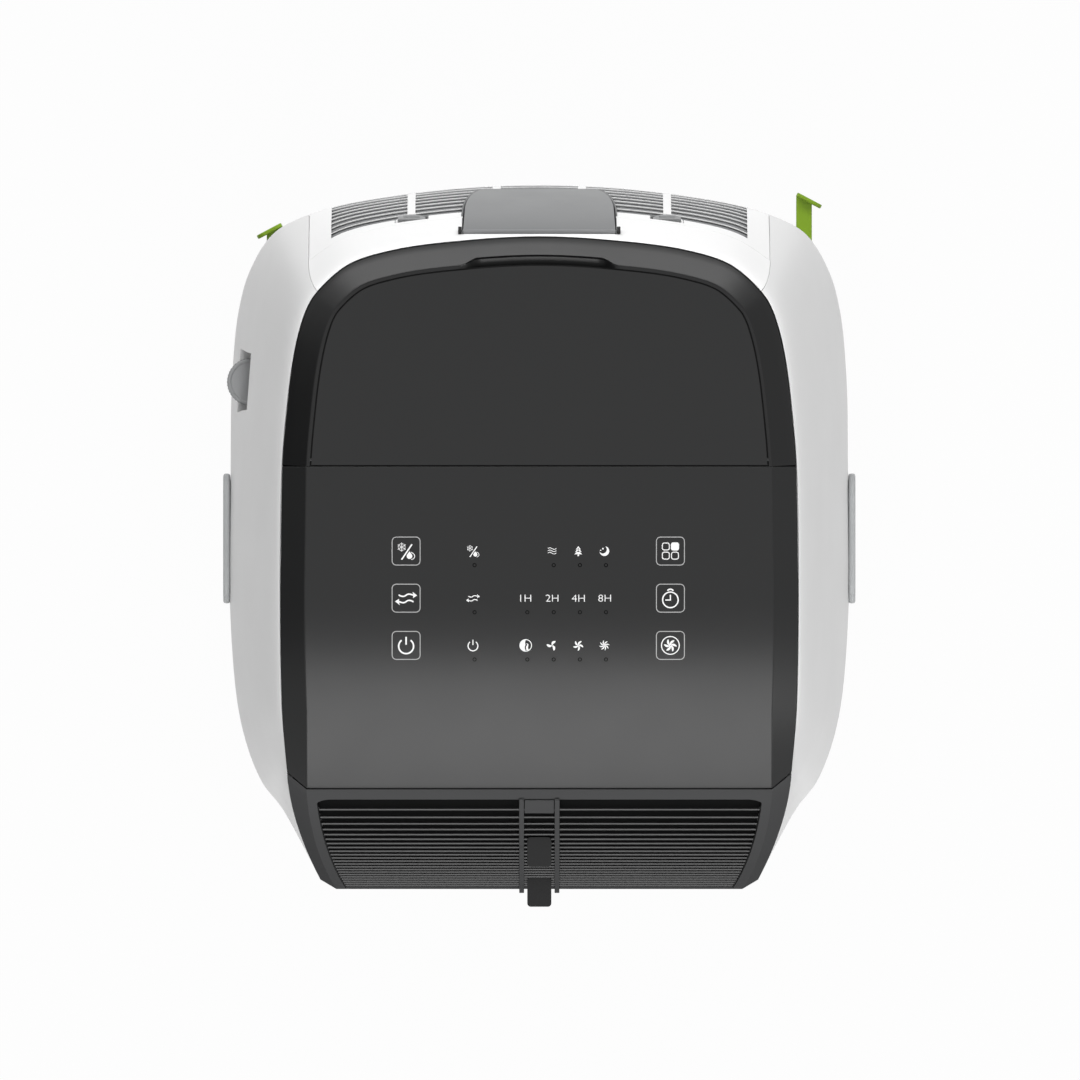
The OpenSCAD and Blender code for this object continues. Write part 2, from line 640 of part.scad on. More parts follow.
// ---- Deck ------------------------------------------------------------------------------
lid_in = border_w + 3;
function back_us(d) = steps(-d, d, 40);
function ring_row(d, z) = [for (u = back_us(frame_u)) let (p = rim_in(u, d)) [p[0], p[1], z]];
frame_u = station_at(hinge_y, split, last);
hinge_seam = 0.9;
lid_z = body_h - lid_t;
lid_pin_y = hinge_y + 3.4;
lid_pin_z = body_h - 1.8;
lid_pin_d = 2.6;
lid_pin_x = top_half_w - border_w - 0.6;
basin_x = 118;
basin_y = [hinge_y + 18, frame_y - 40];
ledge_z = lid_z - 5;
drain_x = 60;
drain_d = 8;

module top_frame() {
    color(black) difference() {
        union() {
            sheet([ring_row(lid_in - lid_gap, body_h), ring_row(border_w, body_h), ring_row(0, edge_z)],
                [ring_row(lid_in - lid_gap, ledge_z - 3), ring_row(border_w, ledge_z - 3), ring_row(0, edge_z - lip_t)]);
            difference() {
                translate([0, 0, ledge_z - 3]) linear_extrude(3) polygon([for (u = back_us(frame_u)) rim_in(u, lid_in - lid_gap - 1)]);
                box([-basin_x, basin_x], basin_y, [ledge_z - 4, ledge_z + 1]);
            }
            difference() {
                box([-basin_x - wall, basin_x + wall], [basin_y[0] - wall, basin_y[1] + wall],
                    [ledge_z - basin_depth, ledge_z]);
                box([-basin_x, basin_x], basin_y, [ledge_z - basin_depth + wall, ledge_z + 1]);
            }
        }
        x_rod([-lid_pin_x - 0.4, lid_pin_x + 0.4], lid_pin_y, lid_pin_z, lid_pin_d + 2 * pin_gap);
        translate([0, frame_y - lid_in + 2, body_h]) rotate([90, 0, 0]) translate([0, 0, -5])
            linear_extrude(10) polygon([[-42, 1], [42, 1], [36, -6], [-36, -6]]);
        for (x = [-drain_x, 0, drain_x]) translate([x, basin_y[1] - 5.5, ledge_z - basin_depth - 1])
            cylinder(d = drain_d, h = wall + 2);
    }
}

lid_rib_x = basin_x - 6;
lid_rib_y = basin_y + [-4, 5];
function lid_plan(d) = [for (u = steps(-frame_u, frame_u, 44)) let (p = rim_in(u, lid_in + d))
    [p[0], max(p[1], hinge_y)]];
module lid() {
    color(black) {
        translate([0, 0, lid_z]) linear_extrude(lid_t) polygon(lid_plan(0));
        difference() {
            box([-lid_rib_x, lid_rib_x], lid_rib_y, [lid_z - 3, lid_z + 0.5]);
            box([-lid_rib_x + wall, lid_rib_x - wall], lid_rib_y + [wall, -wall], [lid_z - 4, lid_z + 1]);
        }
        x_rod([-lid_pin_x, -lid_pin_x + 8], lid_pin_y, lid_pin_z, lid_pin_d);
        x_rod([lid_pin_x - 8, lid_pin_x], lid_pin_y, lid_pin_z, lid_pin_d);
    }
}

// Columns run from the right edge to the left, as the panel and the face are seen from the front.
function across(y_edge, x_edge, z_edge, y_face, x_face, z_face) =
    [[x_edge, y_edge, z_edge], [x_face, y_face, z_face], [-x_face, y_face, z_face], [-x_edge, y_edge, z_edge]];
panel_back = hinge_y - hinge_seam;
function rim_x(y) = let (t = (frame_y - y) / rim_d)
    top_half_w * (t < 0.7215 ? lerp(0.994, 1, clamp01((t - 0.437) / 0.2845)) : t < 0.882
        ? lerp(1, 0.994, (t - 0.7215) / 0.1605) : lerp(0.994, 0.975, (t - 0.882) / 0.118));
crease_rim = 12;
crease_half = rim_at(last)[0] - crease_rim;
function panel_row(y, d) = let (x = rim_x(y))
    across(y, x, panel_z(y) - border_drop - d, y, x - border_w, panel_z(y) - d);
function crease_row(d) = let (e = rim_at(last), ze = panel_z(e[1]) - border_drop)
    across(e[1], e[0], ze - d, crease_y, crease_half, crease_z - d);
panel_ys = concat([panel_back], [for (i = [0:7]) lerp(roll_y, crease_y + border_drop + 8, i / 7)]);
module control_panel() {
    color(black) sheet(concat([for (y = panel_ys) panel_row(y, 0)], [crease_row(0)]),
        concat([for (y = panel_ys) panel_row(y, wall)], [crease_row(wall)]));
}

// ---- Outlet ------------------------------------------------------------------------------
waist_half = waist_at(last)[0] - 10;
function face_y(v) = lerp(crease_y, front_y, lean(v));
function face_half(v) = lerp(crease_half, waist_half, clamp01(v));
function face_z(v) = v <= 1 ? lerp(crease_z, front_waist, v) : front_waist - (v - 1) * face_h;
function share_of(z) = clamp01((crease_z - z) / face_h);
outlet_end = 1.17;
face_start = 0.016;
face_vs = [face_start, 0.04, 0.08, 0.13, 0.2, 0.3, 0.42, 0.56, 0.7, 0.85, 1, outlet_end];
function face_row(v) = let (e = skin(last, min(v, 1)), z = face_z(v))
    across(e[1] - seam / 2, e[0], min(e[2], z), face_y(min(v, 1)), face_half(v), z);
function face_back(v) = let (r = face_row(v)) [r[0] - [3.6, 0, 0], r[1] + [-1, wall + 0.4, 0],
    r[2] + [1, wall + 0.4, 0], r[3] + [3.6, 0, 0]];
open_top = crease_z - 9;
open_bottom = face_z(louver_share(louver_count)) - 8;
function open_half(z) = face_half(share_of(z)) - face_rim;
duct_back = front_y + 118;
side_t = 3;
axis_back = edge_back + louver_chord / 2;
vane_y = front_y + 92;
vane_xs = [-95, -40, 40, 95];
vane_gap = 0.6;
top_plate_z = open_top - 3;
low_plate_z = open_bottom - 3;
function louver_z(i) = face_z(louver_share(i));
function louver_y(i) = face_y(louver_share(i)) + axis_back;

module outlet_side() {
    zs = steps(low_plate_z, top_plate_z + 3, 8);
    rings = [for (z = zs) let (x = open_half(z) + 0.6, y = face_y(share_of(z)) + 2)
        [[x, y, z], [x + side_t, y, z], [x + side_t, duct_back, z], [x, duct_back, z]]];
    n = len(rings);
    function idx(j, i) = 4 * j + i % 4;
    polyhedron([for (r = rings) each r], concat([[0, 1, 2], [0, 2, 3]],
        [[4 * n - 4, 4 * n - 2, 4 * n - 3], [4 * n - 4, 4 * n - 1, 4 * n - 2]],
        [for (j = [0:n - 2]) for (i = [0:3])
            each [[idx(j, i), idx(j + 1, i), idx(j + 1, i + 1)], [idx(j, i), idx(j + 1, i + 1), idx(j, i + 1)]]]));
}
module duct_plate(z) {
    x = open_half(z) + 2;
    box([-x, x], [face_y(share_of(z)) + 3, duct_back], [z, z + 3]);
}
bar_clear = 0.9;
bar_deep = 1.6;
module centre_bar(x) {
    vs = concat([share_of(open_top + 2), share_of(open_top - 2)], [for (i = [1:louver_count]) louver_share(i)],
        [share_of(open_bottom - 2)]);
    on_x(x) linear_extrude(3) polygon(concat([for (v = vs) [face_y(v) - bar_clear - bar_deep, face_z(v)]],
        [for (i = [len(vs) - 1:-1:0]) [face_y(vs[i]) - bar_clear, face_z(vs[i])]]));
    for (z = [open_top + 0.2, open_bottom - 2.2]) let (y = face_y(share_of(z)))
        box([x, x + 3], [y - bar_clear - 1, y + 3], [z, z + 2]);
}

module outlet_frame() {
    w_top = open_half(open_top);
    w_low = open_half(open_bottom);
    color(black) difference() {
        union() {
            difference() {
                sheet([for (v = face_vs) face_row(v)], [for (v = face_vs) face_back(v)]);
                translate([0, duct_back, 0]) rotate([90, 0, 0]) linear_extrude(200)
                    polygon([[-w_low, open_bottom], [w_low, open_bottom], [w_top, open_top - 3],
                        [w_top - 3, open_top], [-w_top + 3, open_top], [-w_top, open_top - 3]]);
            }
            both() outlet_side();
            duct_plate(top_plate_z);
            duct_plate(low_plate_z);
            centre_bar(tab_slot / 2);
            centre_bar(-tab_slot / 2 - 3);
        }
        for (i = [1:louver_count])
            x_rod([-half_w, half_w], louver_y(i), louver_z(i), pin_d + 2 * pin_gap);
        for (x = vane_xs) translate([x, vane_y, low_plate_z - 1]) cylinder(d = pin_d + 2 * pin_gap, h = face_h + 9);
    }
}

// A louver lies flat at rest; its front edge is round and its tail is thin.
module louver(i) {
    z = louver_z(i);
    x = open_half(z + 3) - 0.6;
    nose = louver_chord / 2 - louver_t / 2;
    color(black) translate([0, louver_y(i), z]) {
        on_x(-x) linear_extrude(2 * x) {
            translate([-nose, 0]) circle(d = louver_t);
            polygon([[-nose, louver_t / 2], [louver_chord / 2, 0.5], [louver_chord / 2, -0.5], [-nose, -louver_t / 2]]);
            circle(d = pin_d);
        }
        x_rod([-x - 3.2, x + 3.2], 0, 0, pin_d);
        if (i == upper_tab || i == lower_tab)
            translate([0, -louver_chord / 2 + 2 - (tab_len + 2) / 2, 0]) linear_extrude(2.6, center = true)
                rounded(tab_w, tab_len + 2, 2);
    }
}

module vane(x) {
    top = top_plate_z - vane_gap;
    low = low_plate_z + 3 + vane_gap;
    notch = [low + 19, low + 31];
    back = vane_chord / 2;
    color([0.13, 0.13, 0.14]) translate([x, vane_y, 0]) {
        difference() {
            box([-vane_t / 2, vane_t / 2], [-back, back], [low, top]);
            box([-vane_t, vane_t], [link_back - 7, back + 1], notch);
        }
        translate([0, 0, low - 3]) cylinder(d = pin_d, h = top - low + 6);
        translate([0, link_back, notch[0] - 1]) cylinder(d = pin_d, h = notch[1] - notch[0] + 2);
    }
}
link_back = 14;
link_slot = 0.8;
module vane_link() {
    z = low_plate_z + 3 + vane_gap + 23;
    color([0.75, 0.76, 0.77]) difference() {
        box([vane_xs[0] - 8, vane_xs[3] + 8], [vane_y + link_back - 4.5, vane_y + link_back + 4.5], [z, z + 4]);
        for (x = vane_xs) translate([x, vane_y + link_back, z - 1]) linear_extrude(6) {
            translate([0, -1.6]) circle(d = pin_d + link_slot);
            translate([0, 0.4]) circle(d = pin_d + link_slot);
            translate([0, -0.6]) square([pin_d + link_slot, 2], center = true);
        }
    }
}

// ---- Lower front -------------------------------------------------------------------------
window_w = 14;
window_z = [140, 300];
module lower_front() {
    top = face_z(outlet_end) - seam;
    function row(z) = let (e = waist_at(last)) across(e[1], e[0], z, front_y, waist_half, z);
    function row_back(z) = let (r = row(z)) [r[0] - [3.6, 0, 0], r[1] + [-1, wall, 0],
        r[2] + [1, wall, 0], r[3] + [3.6, 0, 0]];
    color(white) difference() {
        sheet([row(top), row(skirt_z)], [row_back(top), row_back(skirt_z)]);
        box([-window_w / 2, window_w / 2], [front_y - 1, front_y + wall + 1], window_z);
    }
}
module level_window() {
    color([0.7, 0.8, 0.85, 0.5]) {
        box([-window_w / 2 + 0.3, window_w / 2 - 0.3], [front_y + 0.6, front_y + wall + 0.5],
            [window_z[0] + 0.3, window_z[1] - 0.3]);
        box([-window_w / 2 - 4, window_w / 2 + 4], [front_y + wall + 0.3, front_y + wall + 2.3],
            [window_z[0] - 4, window_z[1] + 4]);
    }
}

// ---- Air and water path ------------------------------------------------------------------
scroll_half = blower_l / 2 + 8;
scroll_t = 2;
scroll_low = blower_z - blower_r - 6;
scroll_top = top_plate_z;
scroll_front = duct_back + 1;
function scroll_r(a) = lerp(blower_r + 6, scroll_top - blower_z, a / 180);
function scroll_line(d) = concat([[scroll_front, scroll_low - d]],
    [for (a = [0:15:180]) let (r = scroll_r(a) + d) [blower_y + r * sin(a), blower_z - r * cos(a)]],
    [[scroll_front, scroll_top + d]]);
module scroll_profile(d) {
    polygon(scroll_line(d));
}
module blower_housing() {
    color([0.8, 0.81, 0.82]) difference() {
        union() {
            on_x(-scroll_half) linear_extrude(2 * scroll_half) scroll_profile(scroll_t);
            both() box([scroll_half - 1, chassis_half - chassis_t - 0.3], [blower_y - 20, blower_y + 20],
                [scroll_low - 14, scroll_low + 2]);
            both() box([scroll_half - 14, scroll_half], [blower_y - 20, blower_y + 20],
                [scroll_low - 14, scroll_low + 2]);
        }
        on_x(-scroll_half + scroll_t) linear_extrude(2 * (scroll_half - scroll_t)) scroll_profile(0);
        box([-scroll_half + scroll_t, scroll_half - scroll_t], [scroll_front - 1, scroll_front + 3], [scroll_low, scroll_top]);
        x_rod([-scroll_half - 1, scroll_half + 1], blower_y, blower_z, 2 * inlet_r);
    }
}
shaft_d = 8;
motor_r = 42;
module blower_wheel() {
    color([0.16, 0.16, 0.17]) translate([0, blower_y, blower_z]) on_x(0) {
        for (z = [-blower_l / 2, blower_l / 2 - 4]) translate([0, 0, z]) linear_extrude(4) difference() {
            circle(blower_r);
            circle(blower_r - 14);
        }
        difference() {
            union() {
                translate([0, 0, -1.5]) cylinder(r = blower_r - 1, h = 3);
                translate([0, 0, -12]) cylinder(d = 24, h = 24);
            }
            translate([0, 0, -15]) cylinder(d = shaft_d + 2 * pin_gap, h = 30);
        }
        for (i = [0:blade_count - 1]) rotate([0, 0, i * 360 / blade_count])
            translate([blower_r - 7.5, 0, 0]) rotate([0, 0, 35])
                translate([-6, -0.8, -blower_l / 2 + 1]) cube([12, 1.6, blower_l - 2]);
    }
}
module blower_motor() {
    color([0.5, 0.51, 0.53]) translate([0, blower_y, blower_z]) {
        x_rod([30, scroll_half + 3], 0, 0, 2 * motor_r);
        x_rod([-14, 31], 0, 0, shaft_d);
        for (a = [0:120:359]) rotate([a + 30, 0, 0])
            box([scroll_half + 0.4, scroll_half + 3], [-6, 6], [motor_r - 4, inlet_r + 8]);
    }
}

pad_top = edge_z - 75;
pad_pitch = (pad_w - 1) / 32;
module cooling_pad() {
    low = deck_z + 3.3;
    color([0.55, 0.42, 0.25]) {
        for (x = [-pad_w / 2:pad_pitch:pad_w / 2 - 1])
            box([x, x + 1], [pad_y, pad_y + pad_t], [low, pad_top]);
        for (z = steps(low, pad_top - 3, 5))
            box([-pad_w / 2, pad_w / 2], [pad_y + 2, pad_y + pad_t - 2], [z, z + 3]);
    }
}
module water_distributor() {
    z = [pad_top + 3, pad_top + 27];
    half = pad_w / 2 + 2;
    color([0.7, 0.72, 0.74]) difference() {
        union() {
            box([-half, half], [pad_y - 2, pad_y + pad_t + 1], z);
            both() box([half - 1, chassis_half - chassis_t - 0.3], [pad_y - 2, pad_y + 4], [z[0] + 12, z[0] + 16]);
        }
        box([-half + 2, half - 2], [pad_y, pad_y + pad_t - 1], [z[0] + 2, z[1] + 1]);
        for (x = [-half + 12:14:half - 8]) translate([x, pad_y + pad_t / 2, z[0] - 1]) cylinder(d = 4, h = 4);
        translate([half, riser_y, z[1] - 9]) rotate([0, 90, 0]) cylinder(d = riser_d - 3, h = 12, center = true);
    }
}

pump_x = 108;
module water_pump() {
    elbow_z = deck_z - 13;
    out_z = pad_top + 3 + 15;
    color([0.2, 0.21, 0.22]) {
        translate([pump_x, riser_y, base_z + tray_floor + 8]) cylinder(d = 44, h = 60);
        translate([pump_x, riser_y, base_z + tray_floor + 60]) cylinder(d = riser_d, h = elbow_z - base_z - tray_floor - 60);
        translate([pump_x, riser_y, elbow_z]) sphere(d = riser_d);
        x_rod([pump_x, riser_x], riser_y, elbow_z, riser_d);
        translate([riser_x, riser_y, elbow_z]) sphere(d = riser_d);
        translate([riser_x, riser_y, elbow_z]) cylinder(d = riser_d, h = out_z - elbow_z);
        translate([riser_x, riser_y, deck_z + 3.3]) cylinder(d = riser_d + 6, h = 3);
        translate([riser_x, riser_y, out_z]) sphere(d = riser_d);
        x_rod([pad_w / 2 - 2, riser_x], riser_y, out_z, riser_d - 4);
    }
}

tank_wall = 2.5;
tank_z = base_z + tray_floor + 0.5;
panel_top = grille_z - 1.5;
tank_panel_in = half_w * 0.743 - 0.8;
module water_tank() {
    rear_in = rear_y - 26;
    color([0.86, 0.88, 0.9]) {
        difference() {
            box([-tank_half, tank_half], [tank_front, rear_in], [tank_z, tank_z + tank_h]);
            box([-tank_half + tank_wall, tank_half - tank_wall], [tank_front + tank_wall, rear_in - tank_wall],
                [tank_z + tank_wall, tank_z + tank_h + 1]);
        }
        difference() {
            translate([0, rear_y - rear_r, tank_z]) rotate([0, 0, 90 - asin(tank_panel_in / rear_r)])
                rotate_extrude(angle = 2 * asin(tank_panel_in / rear_r), $fn = 180)
                    translate([rear_r - 4, 0]) square([4, panel_top - tank_z]);
            box([-45, 45], [rear_y - 12, rear_y + 5], [panel_top - 52, panel_top - 22]);
        }
        both() box([tank_half - 30, tank_half - 26], [rear_in - 1, rear_y - sag(tank_half - 26, rear_r) - 3], [tank_z, panel_top - 4]);
        both() box([46, 49], [rear_in - 1, rear_y - sag(46, rear_r) - 3.6], [tank_z + tank_h - 30, panel_top - 14]);
        box([-49, 49], [rear_in - 1, rear_in + 2], [tank_z + tank_h - 30, panel_top - 14]);
    }
}

// ---- Nodes --------------------------------------------------------------------------------
function two(i) = i < 10 ? str("0", i) : str(i);

base_tray();
chassis();
side_shell_left();
side_shell_right();
rear_top_cover();
rear_grille();
top_frame();
lid();
control_panel();
outlet_frame();
lower_front();
level_window();
for (i = [1:louver_count]) louver(i);
for (i = [1:len(vane_xs)]) vane(vane_xs[i - 1]);
vane_link();
blower_housing();
blower_wheel();
blower_motor();
cooling_pad();
water_distributor();
water_pump();
water_tank();
carry_handle();
grille_latch_left();
grille_latch_right();
side_grip_left();
side_grip_right();
cord_hook_left();
cord_hook_right();
flow_dial();
castor_fork_left();
castor_fork_right();
castor_wheel_left();
castor_wheel_right();
rear_wheel_left();
rear_wheel_right();
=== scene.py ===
# %% [markdown]
# # A portable air cooler, dressed for its looks
#
# The real object is a tall cooler on castors: a black touch panel and a filling lid on top, a leaning
# outlet with a stack of louvers in front, white side shells, and a slatted back with a fold-out handle. Its
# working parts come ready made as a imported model. This file adds what the eye sees: fine surfaces, small
# parts, printed marks, finishes and light.

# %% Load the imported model
import math

import bmesh
import bpy
from mathutils import Matrix, Vector


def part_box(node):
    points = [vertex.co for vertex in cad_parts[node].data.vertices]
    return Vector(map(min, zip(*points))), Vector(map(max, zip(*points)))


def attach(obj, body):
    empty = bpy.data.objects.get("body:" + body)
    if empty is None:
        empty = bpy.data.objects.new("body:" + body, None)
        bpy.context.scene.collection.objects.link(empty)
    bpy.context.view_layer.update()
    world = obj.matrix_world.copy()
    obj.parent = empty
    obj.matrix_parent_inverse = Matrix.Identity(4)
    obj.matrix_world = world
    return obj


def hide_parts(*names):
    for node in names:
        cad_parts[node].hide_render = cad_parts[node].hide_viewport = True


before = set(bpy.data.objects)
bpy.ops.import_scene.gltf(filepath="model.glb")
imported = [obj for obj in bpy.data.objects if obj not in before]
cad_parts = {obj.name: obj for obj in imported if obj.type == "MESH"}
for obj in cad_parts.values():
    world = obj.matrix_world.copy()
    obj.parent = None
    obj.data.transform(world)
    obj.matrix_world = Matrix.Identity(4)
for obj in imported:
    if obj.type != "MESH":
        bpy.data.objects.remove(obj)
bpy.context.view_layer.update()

scene = bpy.context.scene
scene.view_settings.view_transform = "Standard"

# %% [markdown]
# ## Measures
#
# Lengths are written in millimetres, as on a drawing, and turned into metres when a mesh is made. The
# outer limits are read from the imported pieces, so each new surface lands on the piece that it stands for.

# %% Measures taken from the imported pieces
MM = 0.001


def limits(node):
    """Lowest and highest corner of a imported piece, in millimetres."""
    low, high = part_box(node)
    return low / MM, high / MM


depth, grip_out, top_half_w = 438, 4.6, 160
border_w, border_drop, roll_drop = 15, 10, 36
face_h, back_h, back_lean = 241.135, 130, 33
half_w = limits("side_grip_right")[1].x - grip_out
front_y = limits("lower_front")[0].y
rear_y = front_y + depth
frame_y = limits("top_frame")[1].y
crease_y, roll_y, hinge_y = front_y + 64, rear_y - 257, rear_y - 174
top_z = limits("lid")[1].z
skirt_z = limits("side_shell_right")[0].z
edge_z, crease_z = top_z - border_drop, top_z - roll_drop
rear_waist, front_waist = edge_z - back_h, crease_z - face_h
rim_d = frame_y - crease_y - border_drop
wall, seam = 3, 0.5
SIDES = ((-1, "left"), (1, "right"))
print(f"width {2 * half_w:.1f}, back {rear_y:.1f}, front {front_y:.1f}, top {top_z:.1f}")

# %% [markdown]
# ## The shape of the casing
#
# The casing is a loft: a curve round its waist, a smaller curve round the black top, and a lean between
# them that starts steep and ends upright. Each curve is a short list of stations from the middle of the back
# to the front, as shares of the half width and of the depth, and the left half mirrors the right one.
# Writing the casing as one function of two numbers, u round the body and v down it, lets every shell be cut
# from the same surface, so the seams always meet.

# %% The casing as a function
WAIST = [(0, 0), (0.26, 0.0045), (0.52, 0.0185), (0.65, 0.0295), (0.743, 0.042), (0.857, 0.068),
    (0.935, 0.12), (0.974, 0.179), (0.995, 0.273), (1, 0.398), (1, 0.62), (0.966, 0.7635),
    (0.901, 0.8455), (0.831, 0.8865), (0.7095, 0.9859)]
RIM = [(0, 0), (0.28, 0.007), (0.5625, 0.025), (0.7375, 0.0524), (0.856, 0.1023), (0.894, 0.131),
    (0.925, 0.1735), (0.953, 0.237), (0.975, 0.322), (0.994, 0.437), (1, 0.7215), (0.994, 0.882),
    (0.986, 0.9425), (0.98, 0.975), (0.975, 1)]
SPLIT, LAST = 4, 14
LEAN_SHARE, LEAN_POWER = 0.79, 0.7


def lerp(a, b, t):
    return a + (b - a) * t


def lerp2(p, q, t):
    return (lerp(p[0], q[0], t), lerp(p[1], q[1], t))


def clamp01(t):
    return max(0.0, min(1.0, t))


def smooth01(t):
    return clamp01(t) ** 2 * (3 - 2 * clamp01(t))


def spread(a, b, n):
    return [lerp(a, b, i / n) for i in range(n + 1)]


def lean(t):
    """The share of the way outwards at a share of the way down: steep at the top, then ever more upright."""
    return (1 + LEAN_SHARE) * max(t, 0) ** LEAN_POWER - LEAN_SHARE * t


def panel_z(y):
    """Height of the middle of the top: flat, then falling along a parabola."""
    return top_z if y > roll_y else top_z - roll_drop * ((roll_y - y) / (roll_y - crease_y)) ** 2


def station(table, i):
    return (-table[-i][0], table[-i][1]) if i < 0 else table[min(i, LAST)]


def along(table, u):
    """A smooth curve through the stations, with steps in keeping with the gaps between them."""
    i = min(math.floor(u), LAST - 1)
    pts = [station(table, i + k) for k in (-1, 0, 1, 2)]
    steps = [max(math.hypot(b[0] - a[0], 2.2 * (b[1] - a[1])), 0.01) ** 0.5 for a, b in zip(pts, pts[1:])]
    knots = [0, steps[0], steps[0] + steps[1], sum(steps)]
    k = lerp(knots[1], knots[2], u - i)
    for width in (1, 2):
        shares = [(k - knots[j]) / (knots[j + width] - knots[j]) for j in range(4 - width)]
        pts = [lerp2(pts[j], pts[j + 1], t) for j, t in enumerate(shares)]
    return lerp2(pts[0], pts[1], (k - knots[1]) / (knots[2] - knots[1]))


def waist_at(u):
    p = along(WAIST, u)
    return Vector((half_w * p[0], rear_y - depth * p[1]))


def rim_at(u):
    p = along(RIM, u)
    return Vector((top_half_w * p[0], frame_y - rim_d * p[1]))


def waist_z(u):
    return lerp(rear_waist, front_waist, smooth01((u - SPLIT) / 4))


def mirrored(shape):
    """Makes a function of u, known for the right half, answer for the left half too, where u is below 0."""
    def both(u, *rest):
        p = shape(abs(u), *rest)
        return p if u >= 0 else Vector((-p.x, *p[1:]))

    return both


@mirrored
def skin(u, v):
    """A point of the casing: v is 0 at the top edge, 1 at the waist and 2 at the skirt."""
    q, w = rim_at(u), waist_at(u)
    top = panel_z(q.y) - border_drop
    s = lean(v) if v < 1 else 1
    lag = 1 + 0.65 * clamp01((u - 11) / 3)
    z = lerp(top, waist_z(u), v) if v < 1 else lerp(waist_z(u), skirt_z, v - 1)
    return Vector((lerp(q.x, w.x, s ** lag), lerp(q.y, w.y, s), z))


@mirrored
def lining(u, v, t):
    """The same point, moved inwards through a wall of thickness t."""
    p, b = skin(u, v), min(u, LAST - 0.02)
    way = skin(b + 0.02, v).xy - skin(b - 0.02, v).xy
    out = Vector((1, 0)) if u > LAST - 0.1 else Vector((-way.y, way.x)).normalized()
    return Vector((p.x - t * out.x, p.y - t * out.y, p.z))


@mirrored
def rim_in(u, d):
    """The curve round the black top, moved inwards by d."""
    way = rim_at(u + 0.02) - rim_at(u - 0.02)
    return rim_at(u) - d * Vector((-way.y, way.x)).normalized()


def lip_share(u):
    """The level of the underside of the black top's edge, a little lower at the front."""
    top = panel_z(rim_at(abs(u)).y) - border_drop
    drop = 3.5 + 2.2 * clamp01((abs(u) - 11) / 1.5)
    return drop / (top - waist_z(abs(u)))


def halved(low, high, steps, before):
    """The place between low and high where before stops being true, found by halving."""
    for _ in range(steps):
        mid = (low + high) / 2
        low, high = (mid, high) if before(mid) else (low, mid)
    return (low + high) / 2


def station_at(y):
    """The u at which the rim crosses a given y."""
    return halved(SPLIT, LAST, 24, lambda u: rim_at(u).y > y)


def u_at(x, v):
    """The u at which the casing is x away from the middle, at level v."""
    return halved(0, 7, 16, lambda u: skin(u, v).x < x)


def seam_x(v):
    """Where the shoulder and the slatted back meet a side shell."""
    return lerp(waist_at(SPLIT).x, rim_at(SPLIT).x, max(0, 1 - lean(v) / lean(0.22)) ** 2)


print("waist", tuple(round(c, 1) for c in skin(9, 1)), "rim", tuple(round(c, 1) for c in skin(9, 0)))

# %% [markdown]
# ## Mesh makers
#
# Four makers cover the moulded parts: a closed sheet between two grids of points, a prism from an outline,
# a ring prism with a hole, and a lathe. Each gives a closed mesh. A Bevel modifier then rounds the hard
# edges, because no moulded edge is truly sharp, and weighted normals keep the flats looking flat.

# %% Mesh makers
def add_object(name, data):
    obj = bpy.data.objects.new(name, data)
    scene.collection.objects.link(obj)
    return obj


def solid(name, verts, faces):
    mesh = bpy.data.meshes.new(name)
    mesh.from_pydata([tuple(c * MM for c in v) for v in verts], [], faces)
    bm = bmesh.new()
    bm.from_mesh(mesh)
    bmesh.ops.remove_doubles(bm, verts=bm.verts, dist=1e-7)
    bmesh.ops.recalc_face_normals(bm, faces=bm.faces)
    for f in bm.faces:
        f.smooth = True
    bm.to_mesh(mesh)
    bm.free()
    return add_object(name, mesh)


def sheet(name, outer, inner):
    """A closed sheet between two grids of points with the same rows and columns."""
    rows, cols = len(outer), len(outer[0])
    n = rows * cols
    verts = [p for grid in (outer, inner) for row in grid for p in row]
    faces = []
    for j in range(rows - 1):
        for i in range(cols - 1):
            a, b, c, d = j * cols + i, j * cols + i + 1, (j + 1) * cols + i + 1, (j + 1) * cols + i
            faces += [(a, d, c, b), (a + n, b + n, c + n, d + n)]
    rim = list(range(cols)) + [j * cols + cols - 1 for j in range(1, rows)]
    rim += [(rows - 1) * cols + i for i in range(cols - 2, -1, -1)]
    rim += [j * cols for j in range(rows - 2, 0, -1)]
    for a, b in zip(rim, rim[1:] + rim[:1]):
        faces.append((a, b, b + n, a + n))
    return solid(name, verts, faces)


def put(p, q, h, axis):
    return {"x": (h, p, q), "y": (p, h, q), "z": (p, q, h)}[axis]


def prism_faces(n):
    """Two ends and the sides between them, for an outline of n points."""
    ends = [tuple(range(n)), tuple(range(2 * n - 1, n - 1, -1))]
    return ends + [(i, (i + 1) % n, (i + 1) % n + n, i + n) for i in range(n)]


def ring_faces(n):
    """The faces between two outlines of n points each, low and high."""
    faces = []
    for i in range(n):
        k = (i + 1) % n
        faces += [(i, k, k + n, i + n), (i + 2 * n, i + 3 * n, k + 3 * n, k + 2 * n)]
        faces += [(i, i + 2 * n, k + 2 * n, k), (i + n, k + n, k + 3 * n, i + 3 * n)]
    return faces


def prism(name, outline, low, high, axis="z"):
    """An outline pulled along an axis. For x the outline is (y, z), for y it is (x, z), for z (x, y)."""
    verts = [put(p, q, h, axis) for h in (low, high) for p, q in outline]
    return solid(name, verts, prism_faces(len(outline)))


def ring(name, outer, inner, low, high, axis="z"):
    """A prism with a hole: the outlines have as many points each."""
    verts = [put(p, q, h, axis) for h in (low, high) for line in (outer, inner) for p, q in line]
    return solid(name, verts, ring_faces(len(outer)))


